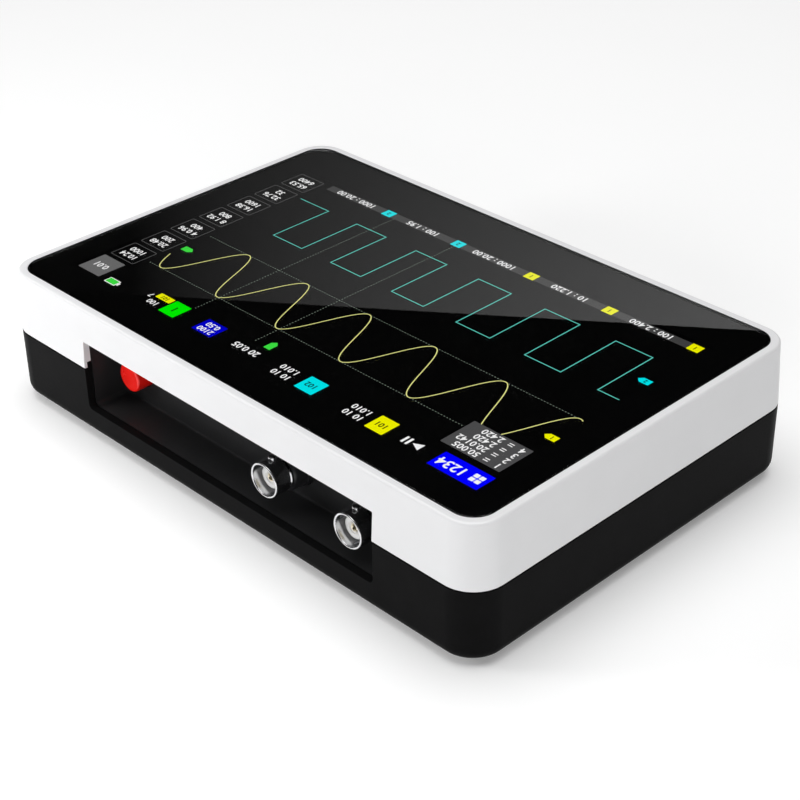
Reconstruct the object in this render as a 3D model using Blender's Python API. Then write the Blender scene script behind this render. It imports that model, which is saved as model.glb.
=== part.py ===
"""Handheld touch-screen oscilloscope, two channels, built as it comes apart on a bench.

All sizes are in millimetres and become metres where a mesh is made.  The origin is the middle of
the footprint on the table, +X is to the right as the screen is read, +Y is the connector side and
+Z comes out of the screen.
"""

from math import cos, pi, radians, sin

import bmesh
import bpy
from mathutils import Vector

MM = 0.001

# ---- Driving dimensions -------------------------------------------------------------------------

CASE_WIDTH = 180.0
CASE_DEPTH = 120.0
CASE_HEIGHT = 40.0  # table to screen, feet included
CASE_CORNER = 9.5
CASE_WALL = 2.2
TOP_EDGE_RADIUS = 0.8
UPPER_DRAFT = 1.0  # how far the upper casing leans in, seam to top
BOTTOM_EDGE_RADIUS = 3.3
SEAM_HEIGHT = 21.9
SEAM_LIP_HEIGHT = 1.5
SEAM_LIP_THICKNESS = 0.95

GAP = 0.3  # between pieces that touch
BOARD_CLEARANCE = 2.0

# Feet
FOOT_HEIGHT_SHOWN = 1.5
FOOT_RADIUS = 5.0
FOOT_POCKET_DEPTH = 1.7
FOOT_INSET = 18.0

# Screen stack, from the top down
SCREEN_RIM = 3.5
GLASS_CORNER = 6.0
GLASS_THICKNESS = 1.1
GASKET_THICKNESS = 0.6
LEDGE_THICKNESS = 1.5
LEDGE_WIDTH_X = 3.45
LEDGE_WIDTH_Y = 5.65
LCD_THICKNESS = 2.0
BACKLIGHT_THICKNESS = 3.5
BRACKET_THICKNESS = 0.8
BRACKET_MARGIN_X = 9.8
BRACKET_MARGIN_Y = 0.8

# Connector recess in the +Y side
RECESS_LEFT = -57.2
RECESS_RIGHT = 54.2
RECESS_BOTTOM = 9.6
RECESS_DEPTH = 12.9
RECESS_CORNER = 1.4
BEZEL_WALL = 1.5
BEZEL_CEILING = 1.2

# Channel jacks
JACK_SPACING = 30.1
JACK_FROM_RECESS_END = 10.0
JACK_AXIS_ABOVE_BOARD = 7.4
JACK_SET_BACK = 1.5  # rim behind the case's outer face
JACK_RIM_RADIUS = 4.85
JACK_BORE_RADIUS = 4.2
JACK_RIM_LENGTH = 5.4
JACK_NECK_RADIUS = 4.2
JACK_NECK_BORE = 3.4
JACK_NECK_LENGTH = 9.0
LUG_RADIUS = 1.0
LUG_REACH = 1.05
LUG_SET_BACK = 3.2
COLLAR_RADIUS = 6.0
COLLAR_TIP_RADIUS = 5.2
COLLAR_TAPER = 0.3
COLLAR_STEP = 1.6
COLLAR_REACH = 5.6
HOUSING_WIDTH = 14.2
HOUSING_LENGTH = 14.0
HOUSING_CORNER = 0.8
HOUSING_BACK_WALL = 4.0
INSULATOR_RADIUS = 3.1
INSULATOR_SET_BACK = 2.2
CONTACT_RADIUS = 1.1
CONTACT_BORE = 0.5
CONTACT_SOCKET_DEPTH = 4.0

# Power button
BUTTON_RADIUS = 4.2
BUTTON_PROUD = 4.6
BUTTON_TRAVEL = 1.5
BUTTON_FROM_RECESS_END = 8.2
BUTTON_EDGE_RADIUS = 0.6
BUTTON_FLANGE = 1.0
BUTTON_FLANGE_THICKNESS = 1.2
STEM_WIDTH = 2.0
STEM_LENGTH = 7.0
SWITCH_WIDTH = 7.0
SWITCH_LENGTH = 8.0
SWITCH_ABOVE_AXIS = 3.5

# Charging port
USB_WIDTH = 8.9
USB_HEIGHT = 3.2
USB_WALL = 0.35
USB_LENGTH = 7.4
USB_FROM_BUTTON = 24.0
USB_TONGUE_WIDTH = 6.6
USB_TONGUE_HEIGHT = 0.7
USB_BASE_THICKNESS = 1.5
CHARGER_WIDTH = 16.0
CHARGER_DEPTH = 17.0
CHARGER_THICKNESS = 1.2
HEADER_HEIGHT = 3.4
HEADER_DEPTH = 2.5

# Main board
BOARD_DEPTH = 53.3
BOARD_THICKNESS = 1.6
BOARD_SIDE_MARGIN = 8.8
STANDOFF_HEIGHT = 6.0
STANDOFF_RADIUS = 2.5
BOARD_SCREW_INSET = 5.0
CHIP_HEIGHT = 1.2
CHIP_ROW = 22.0  # behind the board's front edge
LOGIC_X, LOGIC_SIZE = 4.0, 14.0
PROCESSOR_X, PROCESSOR_SIZE = 34.0, 12.0
MEMORY_X, MEMORY_SIZE = 51.0, 8.0
CRYSTAL_X, CRYSTAL_SIZE, CRYSTAL_BEHIND_ROW = 20.0, (5.0, 3.2, 1.2), 3.8
INDUCTOR_X, INDUCTOR_SIZE, INDUCTOR_BEHIND_ROW = 62.0, (7.0, 7.0, 4.0), 2.0
CAN_WIDTH = 26.0
CAN_DEPTH = 20.0
CAN_HEIGHT = 8.0
CAN_WALL = 0.5
RELAY_SIZE = (12.0, 7.0, 5.5)
RELAY_BEHIND_CAN = 3.0
CONVERTER_SIZE = (9.0, 6.0, 1.2)
CONVERTER_FROM_CAN = 2.0

# Battery
BATTERY_WIDTH = 104.0
BATTERY_THICKNESS = 8.0
BATTERY_CORNER = 2.5
BATTERY_FENCE = 1.2
BATTERY_FENCE_HEIGHT = 5.0
LEAD_RADIUS = 0.8
LEAD_SPACING = 2.4
LEAD_EXIT_FROM_FRONT = 8.0
LEAD_EXIT_BELOW_TOP = 2.0
LEAD_LEAN = 4.9  # from the socket back to where the leads bend
PLUG_FROM_BOARD_END = 16.0
PLUG_WIDTH = 8.0
PLUG_DEPTH = 6.0
PLUG_HEIGHT = 4.6

# Fasteners
SCREW_RADIUS = 1.0
SCREW_HEAD_RADIUS = 1.9
SCREW_HEAD_HEIGHT = 1.4
CASE_SCREW_INSET = 7.5
CASE_POST_RADIUS = 3.4
UPPER_POST_RADIUS = 5.6
CASE_SCREW_SEAT = 10.0
CASE_SCREW_LENGTH = 18.5
BOARD_SCREW_LENGTH = 5.0
BRACKET_POST_RADIUS = 2.6
BRACKET_SCREW_FROM_END = 20.0
BRACKET_SCREW_FROM_WALL = 5.8
BRACKET_SCREW_LENGTH = 3.4

# Ribbons
RIBBON_THICKNESS = 0.3
RIBBON_BEND = 3.0
DISPLAY_RIBBON_WIDTH = 30.0
DISPLAY_RIBBON_FLAT = 12.0
DISPLAY_RIBBON_Y = 6.0
TOUCH_RIBBON_WIDTH = 12.0
TOUCH_RIBBON_X = 31.0
SOCKET_DEPTH = 4.0
SOCKET_HEIGHT = 1.6

CORNER_STEPS = 6
EDGE_STEPS = 3
ROUND_STEPS = 28
FOOT_STEPS = 20
POST_STEPS = 16
HOLE_STEPS = 10
OVERCUT = 5.0  # how far a cutter runs past what it cuts

# ---- Sizes that follow from them -----------------------------------------------------------------

HALF_WIDTH = CASE_WIDTH / 2
HALF_DEPTH = CASE_DEPTH / 2
INNER_HALF_WIDTH = HALF_WIDTH - CASE_WALL
INNER_HALF_DEPTH = HALF_DEPTH - CASE_WALL
FLOOR_TOP = FOOT_HEIGHT_SHOWN + CASE_WALL

GLASS_WIDTH = CASE_WIDTH - 2 * SCREEN_RIM - 2 * GAP
GLASS_DEPTH = CASE_DEPTH - 2 * SCREEN_RIM - 2 * GAP
GLASS_BOTTOM = CASE_HEIGHT - GLASS_THICKNESS
GASKET_TOP = GLASS_BOTTOM - GAP
GASKET_BOTTOM = GASKET_TOP - GASKET_THICKNESS
LEDGE_TOP = GASKET_BOTTOM - GAP
LEDGE_BOTTOM = LEDGE_TOP - LEDGE_THICKNESS
WINDOW_WIDTH = GLASS_WIDTH - 2 * LEDGE_WIDTH_X
WINDOW_DEPTH = GLASS_DEPTH - 2 * LEDGE_WIDTH_Y
LCD_TOP = GLASS_BOTTOM - GAP
LCD_BOTTOM = LCD_TOP - LCD_THICKNESS
BACKLIGHT_TOP = LCD_BOTTOM - GAP
BACKLIGHT_BOTTOM = BACKLIGHT_TOP - BACKLIGHT_THICKNESS
BRACKET_TOP = BACKLIGHT_BOTTOM - GAP
BRACKET_BOTTOM = BRACKET_TOP - BRACKET_THICKNESS
BRACKET_HALF_WIDTH = INNER_HALF_WIDTH - BRACKET_MARGIN_X
BRACKET_HALF_DEPTH = INNER_HALF_DEPTH - BRACKET_MARGIN_Y

BEZEL_TOP = BRACKET_BOTTOM - GAP
RECESS_TOP = BEZEL_TOP - BEZEL_CEILING
RECESS_BACK = HALF_DEPTH - RECESS_DEPTH
BEZEL_BACK = RECESS_BACK - BEZEL_WALL
BEZEL_FRONT = INNER_HALF_DEPTH - GAP

BOARD_BOTTOM = FLOOR_TOP + STANDOFF_HEIGHT + GAP
BOARD_TOP = BOARD_BOTTOM + BOARD_THICKNESS
BOARD_FRONT = BEZEL_BACK - GAP
BOARD_REAR = BOARD_FRONT - BOARD_DEPTH
BOARD_HALF_WIDTH = INNER_HALF_WIDTH - BOARD_SIDE_MARGIN
ON_BOARD = BOARD_TOP + GAP

AXIS_HEIGHT = BOARD_TOP + JACK_AXIS_ABOVE_BOARD
JACK_XS = (RECESS_LEFT + JACK_FROM_RECESS_END,
           RECESS_LEFT + JACK_FROM_RECESS_END + JACK_SPACING)
JACK_FRONT = HALF_DEPTH - JACK_SET_BACK
HOUSING_FRONT = BEZEL_BACK - GAP
HOUSING_REAR = HOUSING_FRONT - HOUSING_LENGTH
BUTTON_X = RECESS_RIGHT - BUTTON_FROM_RECESS_END
BUTTON_FACE = RECESS_BACK + BUTTON_PROUD
USB_X = BUTTON_X - USB_FROM_BUTTON
CHARGER_BOTTOM = ON_BOARD + HEADER_HEIGHT + GAP
CHARGER_TOP = CHARGER_BOTTOM + CHARGER_THICKNESS
USB_AXIS = CHARGER_TOP + GAP + USB_HEIGHT / 2

CASE_SCREWS = [(sx * (HALF_WIDTH - CASE_SCREW_INSET), sy * (HALF_DEPTH - CASE_SCREW_INSET))
               for sx in (-1, 1) for sy in (-1, 1)]
FEET = [(sx * (HALF_WIDTH - FOOT_INSET), sy * (HALF_DEPTH - FOOT_INSET))
        for sx in (-1, 1) for sy in (-1, 1)]
BOARD_SCREWS = [(sx * (BOARD_HALF_WIDTH - BOARD_SCREW_INSET), y)
                for sx in (-1, 1)
                for y in (BOARD_REAR + BOARD_SCREW_INSET, BOARD_FRONT - BOARD_SCREW_INSET)]
BRACKET_SCREWS = [(sx * (HALF_WIDTH - BRACKET_SCREW_FROM_END),
                   sy * (HALF_DEPTH - BRACKET_SCREW_FROM_WALL))
                  for sx in (-1, 1) for sy in (-1, 1)]

BATTERY_FRONT = BOARD_REAR - BOARD_CLEARANCE - BATTERY_FENCE
BATTERY_REAR = -INNER_HALF_DEPTH + BOARD_CLEARANCE + BATTERY_FENCE
BATTERY_BOTTOM = FLOOR_TOP + GAP
BATTERY_TOP = BATTERY_BOTTOM + BATTERY_THICKNESS


# ---- Mesh helpers --------------------------------------------------------------------------------

def clear_scene():
    for item in list(bpy.data.objects):
        bpy.data.objects.remove(item, do_unlink=True)


def finish_material(name, colour, roughness, metallic=0.0, alpha=1.0):
    made = bpy.data.materials.new(name)
    made.use_nodes = True
    shader = made.node_tree.nodes["Principled BSDF"]
    shader.inputs["Base Color"].default_value = (*colour, 1.0)
    shader.inputs["Roughness"].default_value = roughness
    shader.inputs["Metallic"].default_value = metallic
    shader.inputs["Alpha"].default_value = alpha
    made.diffuse_color = (*colour, alpha)
    return made


def rounded_outline(x0, x1, y0, y1, radius, steps=CORNER_STEPS):
    """A rectangle with round corners, anticlockwise, with the same point count at any size."""
    corners = ((x1 - radius, y1 - radius, 0.0), (x0 + radius, y1 - radius, pi / 2),
               (x0 + radius, y0 + radius, pi), (x1 - radius, y0 + radius, 3 * pi / 2))
    points = []
    for cx, cy, start in corners:
        for step in range(steps + 1):
            angle = start + step * pi / 2 / steps
            points.append((cx + radius * cos(angle), cy + radius * sin(angle)))
    return points


def centred_outline(half_width, half_depth, radius, steps=CORNER_STEPS):
    return rounded_outline(-half_width, half_width, -half_depth, half_depth, radius, steps)


def case_outline(inset):
    """The case's outline seen from above, moved inwards by an inset."""
    return centred_outline(HALF_WIDTH - inset, HALF_DEPTH - inset, CASE_CORNER - inset)


def circle(cx, cy, radius, steps=HOLE_STEPS):
    return [(cx + radius * cos(2 * pi * i / steps), cy + radius * sin(2 * pi * i / steps))
            for i in range(steps)]


def bridge(bm, lower, upper):
    count = len(lower)
    for i in range(count):
        j = (i + 1) % count
        bm.faces.new((lower[i], lower[j], upper[j], upper[i]))


def loft(bm, levels, along="Z"):
    """Stacks outlines of equal point count, given as (distance, outline), and caps the ends."""
    rings = []
    for distance, outline in levels:
        if along == "Z":
            ring = [bm.verts.new((x, y, distance)) for x, y in outline]
        else:
            ring = [bm.verts.new((x, distance, z)) for x, z in outline]
        rings.append(ring)
    for lower, upper in zip(rings, rings[1:]):
        bridge(bm, lower, upper)
    bm.faces.new(rings[0])
    bm.faces.new(rings[-1])


def ring_band(bm, outer, inner, z0, z1):
    """A flat frame: the space between two outlines of equal point count."""
    loops = [[bm.verts.new((x, y, z)) for x, y in outline]
             for outline, z in ((outer, z0), (outer, z1), (inner, z1), (inner, z0))]
    for lower, upper in zip(loops, loops[1:] + loops[:1]):
        bridge(bm, lower, upper)


def turn(bm, profile, steps=ROUND_STEPS, closed=False, along="Z"):
    """Turns a profile of (radius, distance) about an axis through the origin."""
    rings = []
    for radius, distance in profile:
        count = steps if radius > 0 else 1
        ring = []
        for i in range(count):
            a = radius * cos(2 * pi * i / steps)
            b = radius * sin(2 * pi * i / steps)
            ring.append(bm.verts.new((a, b, distance) if along == "Z" else (a, distance, b)))
        rings.append(ring)
    pairs = list(zip(rings, rings[1:]))
    if closed:
        pairs.append((rings[-1], rings[0]))
    for first, second in pairs:
        if len(first) == 1:
            for i in range(steps):
                bm.faces.new((first[0], second[i], second[(i + 1) % steps]))
        elif len(second) == 1:
            for i in range(steps):
                bm.faces.new((second[0], first[(i + 1) % steps], first[i]))
        else:
            bridge(bm, first, second)


def mesh_from(bm, name):
    bmesh.ops.recalc_face_normals(bm, faces=bm.faces)
    bmesh.ops.scale(bm, vec=Vector((MM, MM, MM)), verts=bm.verts)
    mesh = bpy.data.meshes.new(name)
    bm.to_mesh(mesh)
    bm.free()
    mesh.shade_smooth()
    mesh.set_sharp_from_angle(angle=radians(32))
    return mesh


def place(name, mesh, at=(0.0, 0.0, 0.0)):
    item = bpy.data.objects.new(name, mesh)
    item.location = Vector(at) * MM
    bpy.context.scene.collection.objects.link(item)
    return item


def piece(name, bm, finish, at=(0.0, 0.0, 0.0)):
    mesh = mesh_from(bm, name)
    mesh.materials.append(finish)
    return place(name, mesh, at)


def lofted(name, levels, finish, at=(0.0, 0.0, 0.0), along="Z"):
    bm = bmesh.new()
    loft(bm, levels, along)
    return piece(name, bm, finish, at)


def turned(name, profile, finish, at, steps=ROUND_STEPS, closed=False, along="Z"):
    bm = bmesh.new()
    turn(bm, profile, steps, closed, along)
    return piece(name, bm, finish, at)


def block(name, x0, x1, y0, y1, z0, z1, finish, corner=0.4):
    outline = rounded_outline(x0, x1, y0, y1, corner, 2)
    return lofted(name, [(z0, outline), (z1, outline)], finish)


def tool(name, bm):
    """A guide shape that a Boolean uses and that is not part of the object."""
    item = place(name, mesh_from(bm, name))
    item.hide_render = True
    item.display_type = "WIRE"
    return item


def boolean(target, guide, operation):
    step = target.modifiers.new(guide.name, "BOOLEAN")
    step.operation = operation
    step.solver = "EXACT"
    step.object = guide


def cut(target, name, shapes):
    """Takes away shapes, each a list of levels and the axis that they are stacked along."""
    bm = bmesh.new()
    for levels, along in shapes:
        loft(bm, levels, along)
    boolean(target, tool(name, bm), "DIFFERENCE")


def add(target, name, shapes):
    bm = bmesh.new()
    for levels, along in shapes:
        loft(bm, levels, along)
    boolean(target, tool(name, bm), "UNION")


def straight(outline, low, high, along="Z"):
    return [(low, outline), (high, outline)], along


# ---- Case ----------------------------------------------------------------------------------------

def edge_levels(face, radius, direction, draft=0.0):
    """Levels of an outer edge rounded by a radius, from the wall to the flat face."""
    levels = []
    for step in range(EDGE_STEPS + 1):
        angle = step * pi / 2 / EDGE_STEPS
        inset = draft + radius * (1 - cos(angle))
        levels.append((face - direction * radius * (1 - sin(angle)), case_outline(inset)))
    return levels


def make_upper_casing(finish):
    bottom = SEAM_HEIGHT + GAP / 2
    levels = [(bottom, case_outline(0.0))]
    levels += edge_levels(CASE_HEIGHT, TOP_EDGE_RADIUS, 1, UPPER_DRAFT)
    casing = lofted("upper_casing", levels, finish)
    cut(casing, "upper_cavity",
        [straight(case_outline(CASE_WALL), bottom - OVERCUT, LEDGE_BOTTOM)])

    add(casing, "upper_case_posts",
        [straight(circle(x, y, UPPER_POST_RADIUS, POST_STEPS), bottom, BEZEL_TOP) for x, y in CASE_SCREWS])
    add(casing, "bracket_posts",
        [straight(circle(x, y, BRACKET_POST_RADIUS), BRACKET_TOP + GAP, LEDGE_TOP - GAP)
         for x, y in BRACKET_SCREWS])

    bm = bmesh.new()
    skin = CASE_WALL - SEAM_LIP_THICKNESS - GAP
    ring_band(bm, case_outline(skin), case_outline(CASE_WALL + GAP),
              bottom - OVERCUT, SEAM_HEIGHT + SEAM_LIP_HEIGHT + GAP)
    boolean(casing, tool("seam_rebate", bm), "DIFFERENCE")

    glass_pocket = centred_outline(GLASS_WIDTH / 2 + GAP, GLASS_DEPTH / 2 + GAP, GLASS_CORNER + GAP)
    window = centred_outline(WINDOW_WIDTH / 2, WINDOW_DEPTH / 2, 1.0)
    cut(casing, "glass_pocket", [straight(glass_pocket, LEDGE_TOP, CASE_HEIGHT + OVERCUT)])
    cut(casing, "screen_window",
        [straight(window, LEDGE_BOTTOM - OVERCUT, LEDGE_TOP + GAP)])
    cut(casing, "touch_ribbon_slot", [touch_slot(LEDGE_BOTTOM - OVERCUT, LEDGE_TOP + GAP)])
    notch = rounded_outline(RECESS_LEFT, RECESS_RIGHT, RECESS_BOTTOM, RECESS_TOP, 0.3, 2)
    cut(casing, "upper_recess_notch",
        [straight(notch, BEZEL_FRONT - GAP, HALF_DEPTH + OVERCUT, "Y")])
    pilot = SCREW_RADIUS + GAP
    cut(casing, "upper_screw_holes",
        [straight(circle(x, y, pilot), bottom - OVERCUT, CASE_SCREW_SEAT + CASE_SCREW_LENGTH)
         for x, y in CASE_SCREWS])
    cut(casing, "bracket_screw_holes",
        [straight(circle(x, y, pilot), BRACKET_TOP - GAP, BRACKET_BOTTOM + BRACKET_SCREW_LENGTH + GAP)
         for x, y in BRACKET_SCREWS])
    return casing


def touch_slot(low, high):
    """The gap at the window's edge that the touch ribbon goes down through."""
    half = TOUCH_RIBBON_WIDTH / 2 + 1.0
    edge = -WINDOW_DEPTH / 2
    outline = rounded_outline(TOUCH_RIBBON_X - half, TOUCH_RIBBON_X + half,
                              edge - 2.6, edge + 0.5, 0.3, 2)
    return straight(outline, low, high)


def make_lower_casing(finish):
    top = SEAM_HEIGHT - GAP / 2
    bottom_edge = edge_levels(FOOT_HEIGHT_SHOWN, BOTTOM_EDGE_RADIUS, -1)
    levels = list(reversed(bottom_edge)) + [(top, case_outline(0.0))]
    casing = lofted("lower_casing", levels, finish)
    cut(casing, "lower_cavity", [straight(case_outline(CASE_WALL), FLOOR_TOP, top + OVERCUT)])

    bm = bmesh.new()
    lip_outer = case_outline(CASE_WALL - SEAM_LIP_THICKNESS)
    ring_band(bm, lip_outer, case_outline(CASE_WALL),
              top - CASE_WALL, SEAM_HEIGHT + SEAM_LIP_HEIGHT)
    boolean(casing, tool("seam_lip", bm), "UNION")
    add(casing, "lower_case_posts",
        [straight(circle(x, y, CASE_POST_RADIUS, POST_STEPS), FLOOR_TOP - 0.5, top) for x, y in CASE_SCREWS])
    add(casing, "board_standoffs",
        [straight(circle(x, y, STANDOFF_RADIUS), FLOOR_TOP - 0.5, FLOOR_TOP + STANDOFF_HEIGHT)
         for x, y in BOARD_SCREWS])
    bm = bmesh.new()
    inner = rounded_outline(-BATTERY_WIDTH / 2 - GAP, BATTERY_WIDTH / 2 + GAP,
                            BATTERY_REAR - GAP, BATTERY_FRONT + GAP, BATTERY_CORNER + GAP)
    reach = GAP + BATTERY_FENCE
    outer = rounded_outline(-BATTERY_WIDTH / 2 - reach, BATTERY_WIDTH / 2 + reach,
                            BATTERY_REAR - reach, BATTERY_FRONT + reach, BATTERY_CORNER + reach)
    ring_band(bm, outer, inner, FLOOR_TOP - 0.5, FLOOR_TOP + BATTERY_FENCE_HEIGHT)
    boolean(casing, tool("battery_fence", bm), "UNION")

    notch = rounded_outline(RECESS_LEFT, RECESS_RIGHT, RECESS_BOTTOM, CASE_HEIGHT, RECESS_CORNER)
    cut(casing, "lower_recess_notch",
        [straight(notch, BEZEL_FRONT - GAP, HALF_DEPTH + OVERCUT, "Y")])
    under = FOOT_HEIGHT_SHOWN - OVERCUT
    cut(casing, "foot_pockets",
        [straight(circle(x, y, FOOT_RADIUS + GAP, FOOT_STEPS), under, FOOT_HEIGHT_SHOWN + FOOT_POCKET_DEPTH)
         for x, y in FEET])
    cut(casing, "screw_head_bores",
        [straight(circle(x, y, SCREW_HEAD_RADIUS + GAP), under, CASE_SCREW_SEAT)
         for x, y in CASE_SCREWS])
    cut(casing, "lower_screw_holes",
        [straight(circle(x, y, SCREW_RADIUS + GAP), CASE_SCREW_SEAT - GAP, top + OVERCUT)
         for x, y in CASE_SCREWS])
    cut(casing, "standoff_holes",
        [straight(circle(x, y, SCREW_RADIUS + GAP), FLOOR_TOP + GAP, BOARD_TOP)
         for x, y in BOARD_SCREWS])
    return casing


def make_port_bezel(finish):
    outer = rounded_outline(RECESS_LEFT - BEZEL_WALL, RECESS_RIGHT + BEZEL_WALL,
                            RECESS_BOTTOM - BEZEL_WALL, BEZEL_TOP, RECESS_CORNER + 1.0)
    inner = rounded_outline(RECESS_LEFT, RECESS_RIGHT, RECESS_BOTTOM, RECESS_TOP, RECESS_CORNER)
    bezel = lofted("port_bezel", [(BEZEL_BACK, outer), (BEZEL_FRONT, outer)], finish, along="Y")
    cut(bezel, "bezel_hollow", [straight(inner, RECESS_BACK, BEZEL_FRONT + OVERCUT, "Y")])
    behind = BEZEL_BACK - OVERCUT
    holes = [straight(circle(x, AXIS_HEIGHT, COLLAR_RADIUS + GAP, ROUND_STEPS),
                      behind, RECESS_BACK + 1.0, "Y") for x in JACK_XS]
    holes.append(straight(circle(BUTTON_X, AXIS_HEIGHT, BUTTON_RADIUS + GAP, ROUND_STEPS),
                          behind, RECESS_BACK + 1.0, "Y"))
    port = rounded_outline(USB_X - USB_WIDTH / 2 - GAP, USB_X + USB_WIDTH / 2 + GAP,
                           USB_AXIS - USB_HEIGHT / 2 - GAP, USB_AXIS + USB_HEIGHT / 2 + GAP,
                           USB_HEIGHT / 2)
    holes.append(straight(port, behind, RECESS_BACK + 1.0, "Y"))
    cut(bezel, "bezel_holes", holes)
    return bezel


def make_feet(finish):
    top = FOOT_HEIGHT_SHOWN + FOOT_POCKET_DEPTH - GAP
    edge = 0.5
    profile = [(0.0, 0.0), (FOOT_RADIUS - edge, 0.0), (FOOT_RADIUS, edge), (FOOT_RADIUS, top),
               (0.0, top)]
    bm = bmesh.new()
    turn(bm, profile, FOOT_STEPS)
    mesh = mesh_from(bm, "foot")
    mesh.materials.append(finish)
    for number, (x, y) in enumerate(FEET, 1):
        place(f"foot_{number}", mesh, (x, y, 0.0))


def make_screws(name, places, length, under_head, head_direction, finish):
    """Pan-head screws whose heads bear at a height, the head lying above it (1) or below it (-1)."""
    s = head_direction
    drive = 0.8
    profile = [(0.0, s * SCREW_HEAD_HEIGHT * 0.45), (drive, s * SCREW_HEAD_HEIGHT * 0.45),
               (drive, s * SCREW_HEAD_HEIGHT), (SCREW_HEAD_RADIUS * 0.8, s * SCREW_HEAD_HEIGHT),
               (SCREW_HEAD_RADIUS, s * SCREW_HEAD_HEIGHT * 0.6), (SCREW_HEAD_RADIUS, 0.0),
               (SCREW_RADIUS, 0.0), (SCREW_RADIUS, -s * (length - SCREW_RADIUS)),
               (0.0, -s * length)]
    bm = bmesh.new()
    turn(bm, profile, HOLE_STEPS)
    mesh = mesh_from(bm, name)
    mesh.materials.append(finish)
    for number, (x, y) in enumerate(places, 1):
        place(f"{name}_{number}", mesh, (x, y, under_head))


# ---- Screen --------------------------------------------------------------------------------------

def make_screen(glass, gasket, panel, tray, steel):
    lofted("cover_glass", [
        (GLASS_BOTTOM, centred_outline(GLASS_WIDTH / 2, GLASS_DEPTH / 2, GLASS_CORNER)),
        (CASE_HEIGHT - 0.2, centred_outline(GLASS_WIDTH / 2, GLASS_DEPTH / 2, GLASS_CORNER)),
        (CASE_HEIGHT, centred_outline(GLASS_WIDTH / 2 - 0.2, GLASS_DEPTH / 2 - 0.2,
                                      GLASS_CORNER - 0.2))], glass)
    bm = bmesh.new()
    ring_band(bm, centred_outline(GLASS_WIDTH / 2, GLASS_DEPTH / 2, GLASS_CORNER),
              centred_outline(WINDOW_WIDTH / 2 + GAP, WINDOW_DEPTH / 2 + GAP, 1.0),
              GASKET_BOTTOM, GASKET_TOP)
    seal = piece("glass_gasket", bm, gasket)
    cut(seal, "gasket_ribbon_slot", [touch_slot(GASKET_BOTTOM - OVERCUT, GASKET_TOP + OVERCUT)])

    half_width, half_depth = WINDOW_WIDTH / 2 - GAP, WINDOW_DEPTH / 2 - GAP
    block("lcd_panel", -half_width, half_width, -half_depth, half_depth,
          LCD_BOTTOM, LCD_TOP, panel, 0.6)
    block("backlight_tray", -half_width, half_width, -half_depth, half_depth,
          BACKLIGHT_BOTTOM, BACKLIGHT_TOP, tray, 0.6)

    plate = centred_outline(BRACKET_HALF_WIDTH, BRACKET_HALF_DEPTH, 3.0)
    bracket = lofted("display_bracket", [(BRACKET_BOTTOM, plate), (BRACKET_TOP, plate)], steel)
    half = DISPLAY_RIBBON_WIDTH / 2 + 2.0
    window = rounded_outline(-half, half, DISPLAY_RIBBON_Y - 2.0,
                             DISPLAY_RIBBON_Y + DISPLAY_RIBBON_FLAT + RIBBON_BEND + 2.0, 1.0)
    holes = [straight(circle(x, y, SCREW_RADIUS + GAP), BRACKET_BOTTOM - 1.0, BRACKET_TOP + 1.0)
             for x, y in BRACKET_SCREWS]
    holes.append(straight(window, BRACKET_BOTTOM - 1.0, BRACKET_TOP + 1.0))
    notch = rounded_outline(TOUCH_RIBBON_X - half, TOUCH_RIBBON_X + half,
                            -BRACKET_HALF_DEPTH - OVERCUT, -WINDOW_DEPTH / 2 + 0.5, 0.3, 2)
    holes.append(straight(notch, BRACKET_BOTTOM - 1.0, BRACKET_TOP + 1.0))
    cut(bracket, "bracket_holes", holes)


def bend(cy, cz, start, end, radius=RIBBON_BEND, steps=6):
    return [(cy + radius * cos(start + (end - start) * i / steps),
             cz + radius * sin(start + (end - start) * i / steps)) for i in range(steps + 1)]


def make_ribbon(name, path, x0, x1, finish):
    """A flat flexible strip whose middle follows a path of (y, z) points."""
    bm = bmesh.new()
    rings = []
    for i, (y, z) in enumerate(path):
        before, after = path[max(i - 1, 0)], path[min(i + 1, len(path) - 1)]
        along = Vector((after[0] - before[0], after[1] - before[1])).normalized()
        side = Vector((-along.y, along.x)) * RIBBON_THICKNESS / 2
        corners = ((x0, y - side.x, z - side.y), (x1, y - side.x, z - side.y),
                   (x1, y + side.x, z + side.y), (x0, y + side.x, z + side.y))
        rings.append([bm.verts.new(corner) for corner in corners])
    for lower, upper in zip(rings, rings[1:]):
        bridge(bm, lower, upper)
    bm.faces.new(rings[0])
    bm.faces.new(rings[-1])
    return piece(name, bm, finish)


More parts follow.
